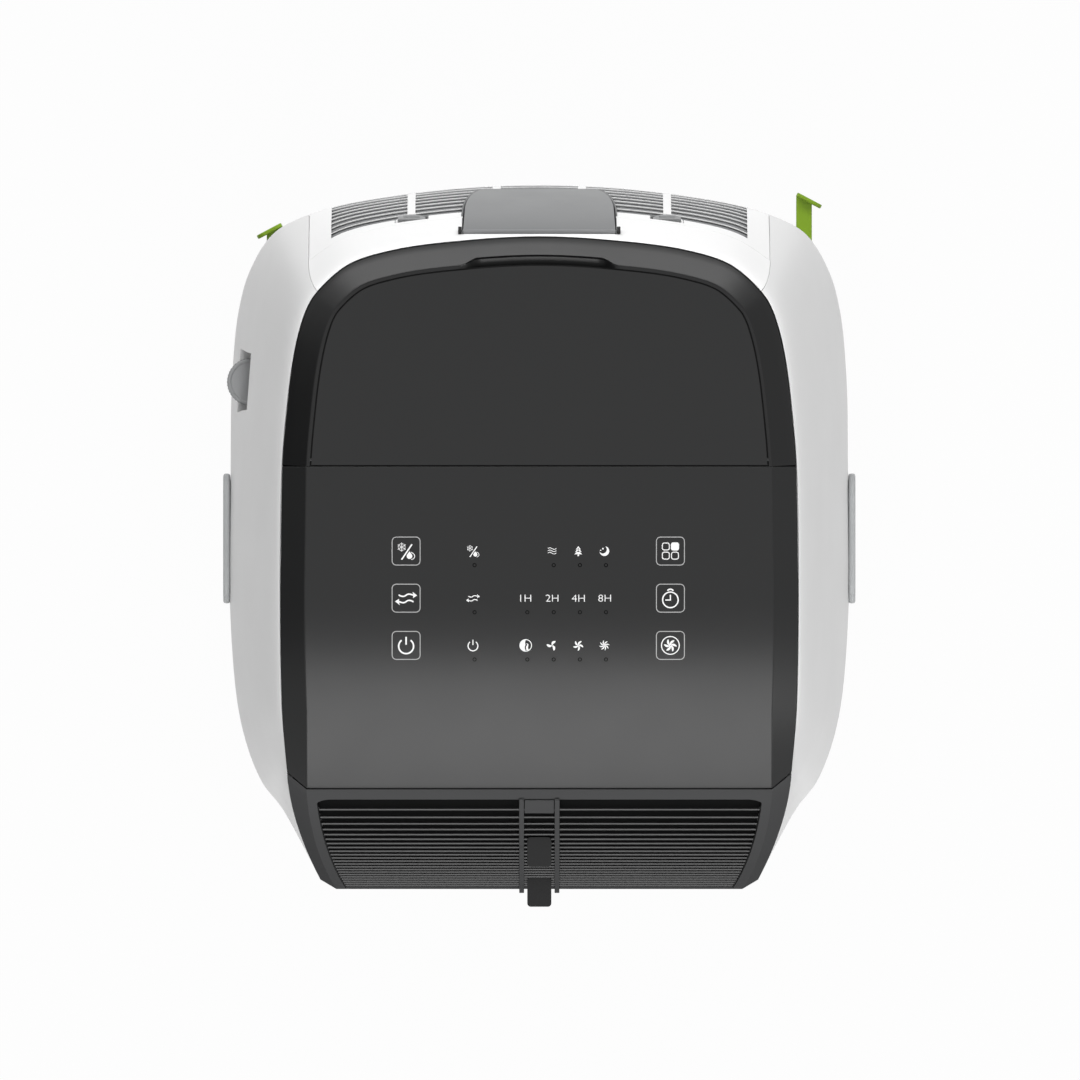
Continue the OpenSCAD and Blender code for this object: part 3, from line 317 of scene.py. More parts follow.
def lathe(name, profile, centre, axis="z", steps=64):
    """A closed profile of (radius, height) turned round an axis through centre."""
    n = len(profile)
    verts, faces = [], []
    for s in range(steps):
        a = 2 * math.pi * s / steps
        for r, h in profile:
            p, q = r * math.cos(a), r * math.sin(a)
            v = put(p, q, h, axis)
            verts.append(tuple(v[k] + centre[k] for k in range(3)))
    for s in range(steps):
        for i in range(n):
            k, t = (i + 1) % n, (s + 1) % steps
            if profile[i][0] > 1e-9 or profile[k][0] > 1e-9:
                faces.append((s * n + i, s * n + k, t * n + k, t * n + i))
    return solid(name, verts, faces)


def circle(cx, cy, r, a=0, b=360, n=40):
    """Points on an arc from a to b degrees, without doubling the first point of a full circle."""
    turns = [math.radians(lerp(a, b, k / n)) for k in range(n if b - a >= 360 else n + 1)]
    return [(cx + r * math.cos(t), cy + r * math.sin(t)) for t in turns]


def rounded(w, h, r, centre=(0, 0), n=8):
    """The outline of a rectangle with round corners."""
    turns = ((1, 1, 0), (-1, 1, 90), (-1, -1, 180), (1, -1, 270))
    return [(centre[0] + sx * (w / 2 - r) + r * math.cos(math.radians(a + 90 * k / n)),
        centre[1] + sy * (h / 2 - r) + r * math.sin(math.radians(a + 90 * k / n)))
        for sx, sy, a in turns for k in range(n + 1)]


def block(name, x, y, z):
    return prism(name, [(x[0], y[0]), (x[1], y[0]), (x[1], y[1]), (x[0], y[1])], z[0], z[1])


def cut(obj, cutter):
    """Takes the cutter out of the piece, then removes the cutter."""
    tool = obj.modifiers.new("cut", "BOOLEAN")
    tool.object, tool.operation, tool.solver = cutter, "DIFFERENCE", "EXACT"
    seen = obj.evaluated_get(bpy.context.evaluated_depsgraph_get())
    obj.data = bpy.data.meshes.new_from_object(seen)
    obj.modifiers.clear()
    bpy.data.objects.remove(cutter)


def join(obj, *others):
    """Puts the meshes of the others into the first piece."""
    bm = bmesh.new()
    for o in (obj, *others):
        bm.from_mesh(o.data)
    bm.to_mesh(obj.data)
    bm.free()
    for o in others:
        bpy.data.objects.remove(o)
    return obj


def fit(obj, body, material, bevel, stands_for=()):
    """Gives the piece its finish and soft edges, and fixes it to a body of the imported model."""
    obj.data.materials.clear()
    obj.data.materials.append(material)
    if bevel:
        edge = obj.modifiers.new("edges", "BEVEL")
        edge.width, edge.segments, edge.limit_method = bevel * MM, 2, "ANGLE"
        edge.angle_limit = math.radians(32)
        flats = obj.modifiers.new("flats", "WEIGHTED_NORMAL")
        flats.keep_sharp = False
    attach(obj, body)
    if stands_for:
        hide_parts(*stands_for)


print("makers ready")

# %% [markdown]
# ## Finishes
#
# Nearly everything is moulded plastic. A plain colour looks like computer plastic, so each finish has three
# layers of noise: slow clouds of slightly lighter and darker tone, clouds in the roughness, and the fine
# grain that the mould leaves, as a bump. Only their amounts differ between gloss black, satin white and
# rubber.

# %% A maker of plastics
def srgb(level):
    """A screen tone from 0 to 255 as a linear value."""
    c = level / 255
    return c / 12.92 if c <= 0.04045 else ((c + 0.055) / 1.055) ** 2.4


def tone(r, g=None, b=None):
    return (srgb(r), srgb(r if g is None else g), srgb(r if b is None else b), 1)


def feed(tree, target, sockets):
    """Fills sockets of a node, by name or number, with values or with the outputs of other nodes."""
    for key, value in sockets.items():
        if isinstance(value, bpy.types.NodeSocket):
            tree.links.new(value, target.inputs[key])
        else:
            target.inputs[key].default_value = value


def node(tree, kind, result, sockets, **settings):
    """A new node with its settings and sockets filled. What comes back is its output called result."""
    n = tree.nodes.new(kind)
    for key, value in settings.items():
        setattr(n, key, value)
    feed(tree, n, sockets)
    return n.outputs[result]


def noise(tree, where, scale, detail=2.0):
    return node(tree, "ShaderNodeTexNoise", "Fac", {"Scale": scale, "Detail": detail, "Vector": where})


def ramp(tree, source, low, high):
    """Turns a noise into a number between low and high."""
    sockets = {"From Min": 0.3, "From Max": 0.7, "To Min": low, "To Max": high, "Value": source}
    return node(tree, "ShaderNodeMapRange", "Result", sockets)


def clouded(tree, source, colour, share):
    """Lets a noise choose between a slightly darker and a slightly lighter colour."""
    darker, lighter = [tuple(min(1, c * k) for c in colour[:3]) + (1,) for k in (1 - share, 1 + share)]
    sockets = {"A": darker, "B": lighter, "Factor": source}
    return node(tree, "ShaderNodeMix", "Result", sockets, data_type="RGBA")


def plastic(name, colour, rough, specular=0.5, grain=0.06, grain_mm=0.35, cloud=0.03, wear=0.03, **sockets):
    m = bpy.data.materials.new(name)
    m.use_nodes = True
    tree = m.node_tree
    where = node(tree, "ShaderNodeTexCoord", "Object", {})
    tint = clouded(tree, noise(tree, where, 9.0), colour, cloud)
    gloss = ramp(tree, noise(tree, where, 30.0, 4.0), max(0.02, rough - wear), min(1, rough + wear))
    height = noise(tree, where, 1 / (grain_mm * MM), 1.0)
    bump = node(tree, "ShaderNodeBump", "Normal", {"Strength": grain, "Distance": 0.0002, "Height": height})
    sockets = {key.replace("_", " "): value for key, value in sockets.items()}
    sockets |= {"Base Color": tint, "Roughness": gloss, "Normal": bump, "Specular IOR Level": specular}
    feed(tree, tree.nodes["Principled BSDF"], sockets)
    return m


# Two copies of one white plastic: the back's copy is lighter than the shells', painted light where the lamp
# behind falls on the back.
white = plastic("white_shell", (0.765, 0.765, 0.765, 1), 0.42, grain=0.05)
back_white_painted_light = plastic("rear_white_painted_light", (0.90, 0.90, 0.90, 1), 0.45, grain=0.05)
black = plastic("black_panel", (0.010, 0.0102, 0.0104, 1), 0.36, specular=0.24, grain=0.02, wear=0.008)
trim = plastic("black_trim", (0.007, 0.0071, 0.0073, 1), 0.30, specular=0.24, grain=0.02, wear=0.01)
face_black = plastic("black_face", (0.062, 0.0625, 0.0635, 1), 0.6, specular=0.0, grain=0.08)
louver_black = plastic("black_louver", (0.008, 0.0081, 0.0083, 1), 0.30, specular=0.24, grain=0.015,
    wear=0.01)
handle_grey = plastic("handle_grey", tone(126, 127, 128), 0.45, specular=0.3)
catch_grey = plastic("catch_grey", tone(142, 143, 144), 0.5, specular=0.3)
# The handle's recess is moulded in the shoulder's white; this grey is painted shade for its hollow.
recess_painted_shade = plastic("recess_painted_shade", tone(96, 97, 98), 0.5)
net_grey = plastic("net_grey", tone(128, 129, 130), 0.8, grain=0.8, grain_mm=0.8, cloud=0.06)
grip_grey = plastic("grip_grey", tone(176, 178, 179), 0.45, specular=0.35)
hook_green = plastic("hook_green", tone(128, 162, 38), 0.4, specular=0.25)
dial_grey = plastic("dial_grey", tone(150, 151, 152), 0.4, specular=0.35)
frame_grey = plastic("chassis_grey", tone(165, 168, 170), 0.5)
tray_grey = plastic("tray_grey", tone(74, 77, 80), 0.55, grain=0.12)
fan_black = plastic("fan_black", (0.02, 0.02, 0.021, 1), 0.4)
pump_black = plastic("pump_black", (0.03, 0.031, 0.033, 1), 0.5)
motor_metal = plastic("motor_metal", (0.42, 0.43, 0.44, 1), 0.38, grain=0.1, Metallic=1.0)
pad_brown = plastic("pad_brown", tone(168, 134, 86), 0.9, grain=0.9, grain_mm=1.2, cloud=0.15)
tank_pale = plastic("tank_pale", tone(214, 221, 226), 0.4)
window_clear = plastic("window_clear", (0.85, 0.9, 0.92, 1), 0.12, grain=0.0, Transmission_Weight=0.85)
rubber = plastic("wheel_rubber", (0.022, 0.022, 0.023, 1), 0.75, specular=0.3, grain=0.25)
print("finishes:", len(bpy.data.materials))

# %% [markdown]
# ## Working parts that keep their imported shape
#
# The blower, the pad, the tank, the chassis and the front cover are already the right shape. They only need
# their finishes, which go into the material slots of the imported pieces. All others are modelled again below.

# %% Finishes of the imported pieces
kept = {"base_tray": tray_grey, "chassis": frame_grey, "lower_front": white, "level_window": window_clear,
    "blower_housing": frame_grey, "blower_wheel": fan_black, "blower_motor": motor_metal,
    "cooling_pad": pad_brown, "water_distributor": tank_pale, "water_pump": pump_black,
    "water_tank": tank_pale, "vane_link": frame_grey, "castor_fork_left": tray_grey,
    "castor_fork_right": tray_grey}
kept.update({f"vane_{i}": fan_black for i in range(1, 5)})
for name, finish in kept.items():
    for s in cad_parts[name].material_slots:
        s.material = finish
print("packed pieces dressed:", len(kept))

# %% [markdown]
# ## Side shells
#
# Each shell is one thin moulding from the black top down to the skirt. It is a sheet between the casing's
# surface and the same surface moved in by the wall. The pockets for the finger grip, the cord hook and the
# water dial are cut out afterwards, as a mould maker would add them.

# %% Side shells
grip_y, grip_z, grip_w, grip_h = 5, 560, 81, 50
hook_half, hook_tall, hook_play = 5.25, 8, 0.5
hook_x, hook_z = limits("cord_hook_right")[0].x + hook_half, 500
dial_low, dial_high = limits("flow_dial")
dial = Vector(((dial_low.x + dial_high.x) / 2, (dial_low.y + dial_high.y) / 2, dial_high.z - 4))


def behind(u, v, first, far):
    """The inside of a wall. Next to the black top the wall runs out to a thin edge."""
    lip = lip_share(u)
    if v >= lip:
        return lining(u, v, far)
    low = lining(u, lip, far)
    p = skin(u, first).lerp(low, v / lip)
    return Vector((p.x, p.y, low.z))


def casing(name, us, vs, near, far, side=1):
    """A piece of the casing between two depths below its surface. us gives the columns at a level."""
    outer = [[lining(u, v, near) for u in us(v)] for v in vs]
    inner = [[behind(u, v, vs[0], far) for u in us(v)] for v in vs]
    flip = [[[Vector((side * p.x, p.y, p.z)) for p in row] for row in grid] for grid in (outer, inner)]
    return sheet(name, *flip)


def shell_us(v):
    return spread(u_at(seam_x(min(v, 1)), min(v, 1)), LAST - 0.015, 84)


edge_vs = [0.0008, 0.004, 0.01, 0.018, 0.027, 0.04, 0.06]
shell_vs = edge_vs + [0.08, 0.1, 0.125] + spread(0.15, 1, 18) + [1.25, 1.5, 1.75, 2]
shells = {}
for side, label in SIDES:
    shell = casing(f"shell_{label}", shell_us, shell_vs, 0, wall, side)
    grip_hole = rounded(grip_w - 6, grip_h - 6, 11, (grip_y, grip_z))
    cut(shell, prism("cutter", grip_hole, side * (half_w - 30), side * (half_w + 5), "x"))
    across_x = (side * hook_x - hook_half - hook_play, side * hook_x + hook_half + hook_play)
    across_z = (hook_z - hook_tall - hook_play, hook_z + hook_tall + hook_play)
    cut(shell, block("cutter", across_x, (rear_y - 80, rear_y), across_z))
    shells[label] = shell
print("shell faces:", [len(s.data.polygons) for s in shells.values()])

# %% [markdown]
# ## The pocket of the water dial
#
# The dial lies flat in a pocket of the left shell, with its edge standing out where a thumb can roll it.
# The pocket's ends are hollowed, so the pocket is cut with an outline whose ends bulge, out of a thicker
# block behind the wall. The cut in the block is a little larger than the one in the shell, so that the two
# don't share a face, which would flicker.

# %% Dial pocket
pocket_half = 17.6


def pocket_outline(grow=0.0):
    """The pocket seen from above: a slanted back wall and two ends that flare towards the outside."""
    ends = []
    for s, x0, flare in ((1, dial.x + 0.5, 5.3), (-1, dial.x - 2.2, 2.4)):
        bulge = [(t, pocket_half + grow + flare * min(1, t / 0.47) ** 1.5) for t in spread(0, 1, 17)]
        ends.append([(x0 + grow - 20 * t, dial.y + s * half) for t, half in bulge])
    return ends[0] + ends[1][::-1]


backing = casing("dial_pocket", lambda v: spread(6.6, 8.8, 16), spread(0.30, 0.92, 14), 1.2, 17, -1)
cut(backing, prism("cutter", pocket_outline(0.2), dial.z - 5.4, dial.z + 92))
cut(shells["left"], prism("cutter", pocket_outline(), dial.z - 5, dial.z + 92))
seat = [(0, -5), (16, -5), (16, 5), (0, 5)]
cut(backing, lathe("cutter", [(r * 1.01, h * 1.08) for r, h in seat], dial))
cut(shells["left"], lathe("cutter", seat, dial))
fit(backing, "casing", white, 0.4)
fit(shells["left"], "casing", white, 0.5, ["side_shell_left"])
fit(shells["right"], "casing", white, 0.5, ["side_shell_right"])
print("dial centre:", tuple(round(c, 1) for c in dial))

# %% [markdown]
# ## Water dial
#
# The wheel's edge is ribbed so that a wet thumb can turn it. The ribs are a wave in its outline, which
# costs nothing compared with separate teeth.

# %% Water dial
ribs, dial_r, dial_t, rib_h = 44, 15, 8, 0.15


def dial_edge(a):
    r = dial_r - rib_h + rib_h * math.cos(ribs * a)
    return (dial.x + r * math.cos(a), dial.y + r * math.sin(a))


rim = [dial_edge(2 * math.pi * k / (ribs * 6)) for k in range(ribs * 6)]
wheel = prism("dial_wheel", rim, dial.z - dial_t / 2, dial.z + dial_t / 2 - 1)
cap_profile = [(0, 2.0), (14.4, 2.0), (14.4, 3.5), (13.9, 4), (12.8, 4), (12.2, 3.4), (0, 3.2)]
cap = lathe("dial_cap", cap_profile, dial)
stem = lathe("dial_stem", [(0, -11), (2.5, -11), (2.5, -3), (0, -3)], dial)
fit(join(wheel, cap, stem), "flow_dial", dial_grey, 0.25, ["flow_dial"])
print("dial ribs:", ribs)

# %% [markdown]
# ## Finger grips
#
# The grips are separate light grey mouldings: a rim that stands a little out of the shell and a cup behind
# it. A ring prism gives the rim, a deeper ring and a plate give the cup.

# %% Finger grips
cup_deep, cup_floor = 24, 3
for side, label in SIDES:
    edge = side * (half_w + grip_out)
    place = (grip_y, grip_z)
    mouth = rounded(grip_w - 14, grip_h - 14, 9, place)
    rim = ring("grip_" + label, rounded(grip_w, grip_h, 14, place), mouth, side * (half_w + 0.4), edge, "x")
    cup_end = edge - side * cup_deep
    cup = ring("cup", rounded(grip_w - 8, grip_h - 8, 11, place), mouth, cup_end, edge - side, "x")
    floor_plan = rounded(grip_w - 9, grip_h - 9, 10.5, place)
    floor = prism("cup_floor", floor_plan, cup_end, cup_end + side * cup_floor, "x")
    fit(join(rim, cup, floor), "casing", grip_grey, 1.4, [f"side_grip_{label}"])
print("grips stand out to", round(half_w + grip_out, 1))

# %% [markdown]
# ## Cord hooks
#
# A green bar slides out of each rear corner, with a skewed lip that keeps the wound cord on it. One is drawn
# out further than the other, so more of it shows. The bar's end is cut to the slant of the lip.

# %% Cord hooks
skew, lip_w, lip_h, lip_t, lip_shift, hook_inner = math.radians(28), 17.2, 24, 1.6, 3.3, 4.5
for side, label in SIDES:
    low, high = limits(f"cord_hook_{label}")
    out_y = high.y - lip_w / 2 * math.sin(skew) - lip_t * math.cos(skew)
    x, rise = side * hook_x, math.tan(skew)
    outer_end = out_y - (hook_half - lip_shift) * rise
    inner_end = out_y + (hook_inner + lip_shift) * rise - 0.4
    x_out, x_in = x + side * hook_half, x - side * hook_inner
    stem = [(x_out, low.y), (x_out, outer_end), (x_in, inner_end), (x_in, low.y)]
    bar = prism("hook_" + label, stem, hook_z - hook_tall, hook_z + hook_tall)
    lip = prism("lip", rounded(lip_w, lip_h, 5), -lip_t / 2, lip_t, "y")
    at = Matrix.Translation(Vector((x + side * lip_shift, out_y, hook_z)) * MM)
    lip.data.transform(at @ Matrix.Rotation(-side * skew, 4, "Z"))
    fit(join(bar, lip), f"cord_hook_{label}", hook_green, 0.5, [f"cord_hook_{label}"])
print("hooks at x", round(hook_x, 1))

# %% [markdown]
# ## Black border with the filling basin
#
# The border is a sloped band round the lid with a narrow flat ledge inside. Its inner edge dips in the
# middle of the back to let a fingertip under the lid. Under the lid lies the basin that water is poured into.

# %% Black border
frame_u, lid_in, lid_t, lid_gap = station_at(hinge_y), 18, 4, 1
ledge_z = top_z - lid_t - 5
border_us = spread(-frame_u, frame_u, 240)


def notch(u):
    """1 in the middle of the fingertip notch, 0 outside it, with S-shaped ends."""
    return 1 - smooth01((abs(u) - 0.88) / 0.24)


def slope(d):
    return edge_z + border_drop * d / border_w


def band(d, z, notch_d=None, notch_z=None):
    """A line round the border, and where it runs instead in the middle of the notch."""
    rows = []
    for u in border_us:
        t = notch(u) if notch_d else 0
        p = rim_in(u, lerp(d, notch_d or d, t))
        rows.append((p.x, p.y, lerp(z, notch_z or z, t)))
    return rows


outer = [band(0, edge_z - 1), band(0.6, edge_z + 0.3), band(5, slope(5)), band(10, slope(10)),
    band(13.8, slope(13.8), 10.6, slope(10.6)), band(14.7, slope(14.7), 11.0, slope(11.0)),
    band(15.1, top_z - 0.05, 11.3, slope(11.3) - 0.5), band(15.6, top_z, 11.8, top_z - 5.6),
    band(16.4, top_z, 12.6, top_z - 6.2), band(lid_in - lid_gap, top_z, lid_in - lid_gap, top_z - 7)]
inner = [band(0, edge_z - 3), band(0.6, edge_z - 3), band(5, ledge_z - 3.4), band(10, ledge_z - 3.2)]
inner += [band(d, ledge_z - 3) for d in (13.8, 14.7, 15.1, 15.6, 16.4, lid_in - lid_gap)]
border = sheet("top_border", outer, inner)
basin_x, basin_y = 118, (hinge_y + 18, frame_y - 40)
seat_plan = [rim_in(u, lid_in - lid_gap - 1)[:] for u in border_us]
seat_plate = prism("lid_seat", seat_plan, ledge_z - 3, ledge_z)
cut(seat_plate, block("cutter", (-basin_x, basin_x), basin_y, (ledge_z - 9, ledge_z + 3)))
basin_mid = (0, (basin_y[0] + basin_y[1]) / 2)
basin_size = (2 * basin_x, basin_y[1] - basin_y[0])
basin = ring("basin", rounded(basin_size[0] + 6, basin_size[1] + 6, 9, basin_mid),
    rounded(*basin_size, 6, basin_mid), ledge_z - 32, ledge_z - 0.2)
basin_floor = prism("basin_floor", rounded(basin_size[0] + 4, basin_size[1] + 4, 8, basin_mid),
    ledge_z - 32, ledge_z - 29)
for x in (-60, 0, 60):
    hole = lathe("cutter", [(0, -40), (4, -40), (4, 10), (0, 10)], (x, basin_y[1] - 5.5, ledge_z))
    cut(basin_floor, hole)
fit(join(border, seat_plate, basin, basin_floor), "casing", trim, 0.3, ["top_frame"])
print("border from", round(edge_z, 1), "to", round(top_z, 1))

# %% [markdown]
# ## Filling lid
#
# A thin flat flap that follows the border, hinged along the straight line across the top. It is built from
# rows that run from side to side. Where the offset of the border folds back on itself in a tight corner, rows
# would cross, so only rows that keep coming forwards are used.

# %% Filling lid
lid_rows = [rim_in(u, lid_in) for u in [0.02] + spread(0.15, frame_u, 90)]
falling, lowest = [lid_rows[0]], lid_rows[0].y
for p in lid_rows[1:]:
    if p.y < lowest - 0.05:
        falling.append(p)
    lowest = min(lowest, p.y)
lid_rows = [(p.x, max(p.y, hinge_y)) for p in falling]


def lid_row(x, y, z):
    return [(p, y, z) for p in spread(x, -x, 12)]


flap = sheet("filling_lid", [lid_row(x, y, top_z) for x, y in lid_rows],
    [lid_row(x, y, top_z - lid_t) for x, y in lid_rows])
rib = ring("lid_rib", rounded(224, basin_size[1] + 9, 4, (0, basin_mid[1] + 0.5)),
    rounded(218, basin_size[1] + 3, 3, (0, basin_mid[1] + 0.5)), top_z - lid_t - 3, top_z - lid_t + 0.5)
pins = []
for s in (-1, 1):
    inner_x, outer_x = s * 136.4, s * 144.4
    pins.append(prism("lid_pin", circle(hinge_y + 3.4, top_z - 1.8, 1.3, n=24), inner_x, outer_x, "x"))
fit(join(flap, rib, *pins), "lid", black, 0.35, ["lid"])
print("lid front edge at", round(lid_rows[-1][1], 1))

# %% [markdown]
# ## Touch panel
#
# The panel is one moulding that starts flat behind the keys and rolls over towards the outlet. Its sides
# slope down like the border. The rows of its grid follow the parabola closely, so that the reflection on
# the roll changes without steps.

# %% Touch panel
panel_back, skin_drop = hinge_y - 0.9, 0.06
crease_half = rim_at(LAST).x - 12


def rim_x(y):
    return rim_at(station_at(y)).x


def across(edge, face):
    """A row from the right edge to the left edge: a sloped strip at each end and a flat middle.

    Two points close to each ridge keep the soft shading inside a narrow strip.
    """
    near = [lerp(a, b, 0.05) for a, b in zip(face, edge)]
    flat = [(x, face[1], face[2]) for x in spread(face[0], -face[0], 14)]
    flat.insert(1, (face[0] - 0.7, face[1], face[2]))
    flat.insert(-1, (0.7 - face[0], face[1], face[2]))
    return [tuple(edge), tuple(near)] + flat + [(-near[0], near[1], near[2]), (-edge[0], edge[1], edge[2])]


def panel_row(y_edge, y_face, x_face, d):
    edge = (rim_x(y_edge), y_edge, panel_z(y_edge) - border_drop - d)
    return across(edge, (x_face, y_face, panel_z(y_face) - d))


flat_end = crease_y + border_drop + 8
panel_ys = [panel_back] + spread(roll_y + 6, flat_end, 40)
panel_plan = [(y, y, max(rim_x(y) - border_w, crease_half)) for y in panel_ys]
for t in spread(0, 1, 8)[1:]:
    y_edge, y_face = lerp(flat_end, rim_at(LAST).y, t), lerp(flat_end, crease_y, t)
    panel_plan.append((y_edge, y_face, crease_half))
panel = sheet("touch_panel", *[[panel_row(*p, d) for p in panel_plan] for d in (skin_drop, wall)])
fit(panel, "casing", black, 0.5, ["control_panel"])
print("panel from", round(panel_back, 1), "to", round(crease_y, 1))

# %% [markdown]
# ## Outlet
#
# Below the panel the face leans forward and down. A rim surrounds the opening, two bars stand in its middle
# with a small plate between them at the top, and a duct runs back to the blower. The face and the bars are
# matt, with no gloss at all, while the duct behind is glossy black and looks darker.

# %% Outlet face
waist_half = waist_at(LAST).x - 10
first_share, pitch_share = 0.0706, 0.0423


def face_y(v):
    return lerp(crease_y, front_y, lean(v))


def face_z(v):
    return lerp(crease_z, front_waist, v) if v <= 1 else front_waist - (v - 1) * face_h


def share_of(z):
    return clamp01((crease_z - z) / face_h)


def face_half(v):
    return lerp(crease_half, waist_half, clamp01(v))


def open_half(z):
    return face_half(share_of(z)) - 6


def louver_share(i):
    return first_share + pitch_share * (i - 1)


def face_row(v, back=0):
    e, z, y = skin(LAST, min(v, 1)), face_z(v), face_y(min(v, 1))
    row = across((e.x, e.y - seam / 2, min(e.z, z)), (face_half(v), y, z))
    if not back:
        return row
    if v < 0.016:
        return [(p[0], p[1], p[2] - 1) for p in row]
    sides = [(row[0][0] - 3.6, *row[0][1:])], [(row[-1][0] + 3.6, *row[-1][1:])]
    return sides[0] + [(p[0], p[1] + wall + 0.4, p[2]) for p in row[1:-1]] + sides[1]


open_top, open_bottom = crease_z - 5.6, face_z(louver_share(22)) - 8
face_vs = [0.0005, 0.003, 0.009, 0.0155, 0.022, 0.033] + spread(0.045, 1, 36) + [1.08, 1.17]
face = sheet("outlet_face", [face_row(v) for v in face_vs], [face_row(v, 1) for v in face_vs])
w_top, w_low = open_half(open_top), open_half(open_bottom)
corner = [(w_top + 9 * (x - 1), open_top + 3.7 * (z - 1)) for x, z in circle(0, 0, 1, 0, 90, 10)]
mouth = [(-w_low, open_bottom), (w_low, open_bottom)] + corner + [(-x, z) for x, z in corner[::-1]]
duct, duct_back = [], front_y + 118
cut(face, prism("cutter", mouth, front_y - 20, duct_back, "y"))
for s in (-1, 1):
    zs = spread(open_bottom - 3, open_top, 16)
    ends = [(s * (open_half(z) + 0.6), face_y(share_of(z)) + 2, z) for z in zs]
    near = [[(x, y, z), (x, duct_back, z)] for x, y, z in ends]
    far = [[(x + s * 3, y, z) for x, y, z in row] for row in near]
    duct.append(sheet("duct_side", near, far))
for z in (open_top - 3, open_bottom - 3):
    x = open_half(z) + 2
    duct.append(block("duct_plate", (-x, x), (face_y(share_of(z)) + 3, duct_back), (z, z + 3)))
fit(face, "casing", face_black, 0.4, ["outlet_frame"])
fit(join(*duct), "casing", trim, 0.3)
print("opening", round(2 * w_top, 1), "wide at the top,", round(2 * w_low, 1), "at the bottom")

# %% Centre bars and the plate between them
tab_slot = 19
bar_vs = spread(share_of(open_top + 2), share_of(open_bottom - 2), 40)
bars = []
for x in (tab_slot / 2, -tab_slot / 2 - 3):
    front = [(face_y(v) - 2.5, face_z(v)) for v in bar_vs]
    back = [(face_y(v) - 0.9, face_z(v)) for v in bar_vs[::-1]]
    bars.append(prism("centre_bar", front + back, x, x + 3, "x"))
plate_vs = spread(share_of(open_top + 1), louver_share(1) - 0.004, 6)
plate_front = [(face_y(v) - 1.8, face_z(v)) for v in plate_vs]
plate_back = [(face_y(v) - 0.7, face_z(v)) for v in plate_vs[::-1]]
bars.append(prism("bar_plate", plate_front + plate_back, -tab_slot / 2 + 0.4, tab_slot / 2 - 0.4, "x"))
fit(join(*bars), "casing", face_black, 0.3)
print("bars", tab_slot, "apart")

# %% [markdown]
# ## Louvers
#
# Twenty-two thin blades. Each has a small bevel on its nose, which catches the light as a bright line.
# Behind it the blade dips under the one above, so its top shows only the dark between them. Two of them
# carry a flat thumb tab, which tilts its whole group through the hidden link.

# %% Louvers
louver_chord, tab_w, tab_len = 14, 15, 16.6
nose = [(0, -0.3), (0.1, 0), (0.3, 0.2), (1.0, 0.54), (1.15, 0.5), (5.4, -1.5)]
tail = [(louver_chord - 0.3, -1.7), (louver_chord, -2.0), (louver_chord - 0.3, -2.3), (5.2, -2.5)]
blade_section = nose + tail + [(1.6, -0.95), (0.8, -0.85), (0.25, -0.7)]
for i in range(1, 23):
    z, y = face_z(louver_share(i)), face_y(louver_share(i)) + 0.5 + louver_chord / 2
    x = open_half(z + 3) - 0.6
    section = [(y - louver_chord / 2 + a, z + b) for a, b in blade_section]
    blade = prism(f"louver_blade_{i:02d}", section, -x, x, "x")
    for s in (-1, 1):
        start, end = s * (x - 1), s * (x + 3.2)
        join(blade, lathe("pin", [(0, start), (1.5, start), (1.5, end), (0, end)], (0, y, z), "x", 24))
    if i in (6, 19):
        middle = (0, y - louver_chord / 2 + 2 - (tab_len + 2) / 2)
        join(blade, prism("tab", rounded(tab_w, tab_len + 2, 2.2, middle), z - 1.3, z + 1.3))
    fit(blade, f"louver_{i:02d}", louver_black, 0.3, [f"louver_{i:02d}"])
print("louvers:", i)

# %% [markdown]
# ## The shape of the back
#
# A few helpers describe the back. Some give its middle line and the outward direction, for the handle and
# its recess. One gives the depth of the bowed surface at any place, for the slats. The last gives the outline
# of the handle, which gets narrower and ends in round corners.

# %% Back profile
SLOT_SHARE, HINGE_SHARE, FLAP_END = 0.215, 0.045, 0.85
flap_half, flap_t, knuckle_r, pan_gap, pan_deep, corner_r, taper = 47, 4, 3.5, 0.8, 10, 12.4, 2.0


def back_at(v):
    return Vector((frame_y + back_lean * lean(v), lerp(edge_z, rear_waist, v)))


def back_out(v):
    way = back_at(v + 0.004) - back_at(max(v - 0.004, 0.001))
    return Vector((-way.y, way.x)).normalized()


def back_off(v, d):
    return back_at(v) + d * back_out(v)


def strip(vs, near, far):
    return [tuple(back_off(v, near)) for v in vs] + [tuple(back_off(v, far)) for v in vs[::-1]]


def level_of(z):
    return clamp01((edge_z - z) / (edge_z - rear_waist))


def back_y(x, z, d):
    v = level_of(z)
    return skin(u_at(abs(x), v), v).y - d


def flap_edge(v, d=0.0):
    """Half the width of the handle at a level, for an outline that is larger by d all round."""
    left = back_at(FLAP_END).x - back_at(v).x + d
    if left <= 0:
        return 0
    r, half = corner_r + d, flap_half + d - taper * clamp01(1 - left / flap_reach)
    return half - (r - math.sqrt(max(0, r * r - (r - left) ** 2)) if left < r else 0)


flap_reach = back_at(FLAP_END).x - back_at(HINGE_SHARE).x
print("back leans", round(back_at(1).x - back_at(0).x, 1), "over", round(edge_z - rear_waist, 1))

# %% Where the catches sit
# At the level of the catches the back is an arc: bow_half is half its span and latch_bow its height.
latch_r, latch_share, latch_x, bow_half = 8.7, 0.29, 79, 140
latch_mid, latch_z = back_at(latch_share)
latch_bow = latch_mid - lerp(rim_at(SPLIT).y, waist_at(SPLIT).y, lean(latch_share))
latch_ring = (bow_half ** 2 + latch_bow ** 2) / (2 * latch_bow)
latch_y = latch_mid - latch_ring + math.sqrt(latch_ring ** 2 - latch_x ** 2)
latch_tilt = math.atan2(back_out(latch_share).y, back_out(latch_share).x) - math.pi / 2


def catch_place(side):
    at = Vector((side * latch_x, latch_y, latch_z)) * MM
    return Matrix.Translation(at) @ Matrix.Rotation(latch_tilt, 4, "X")


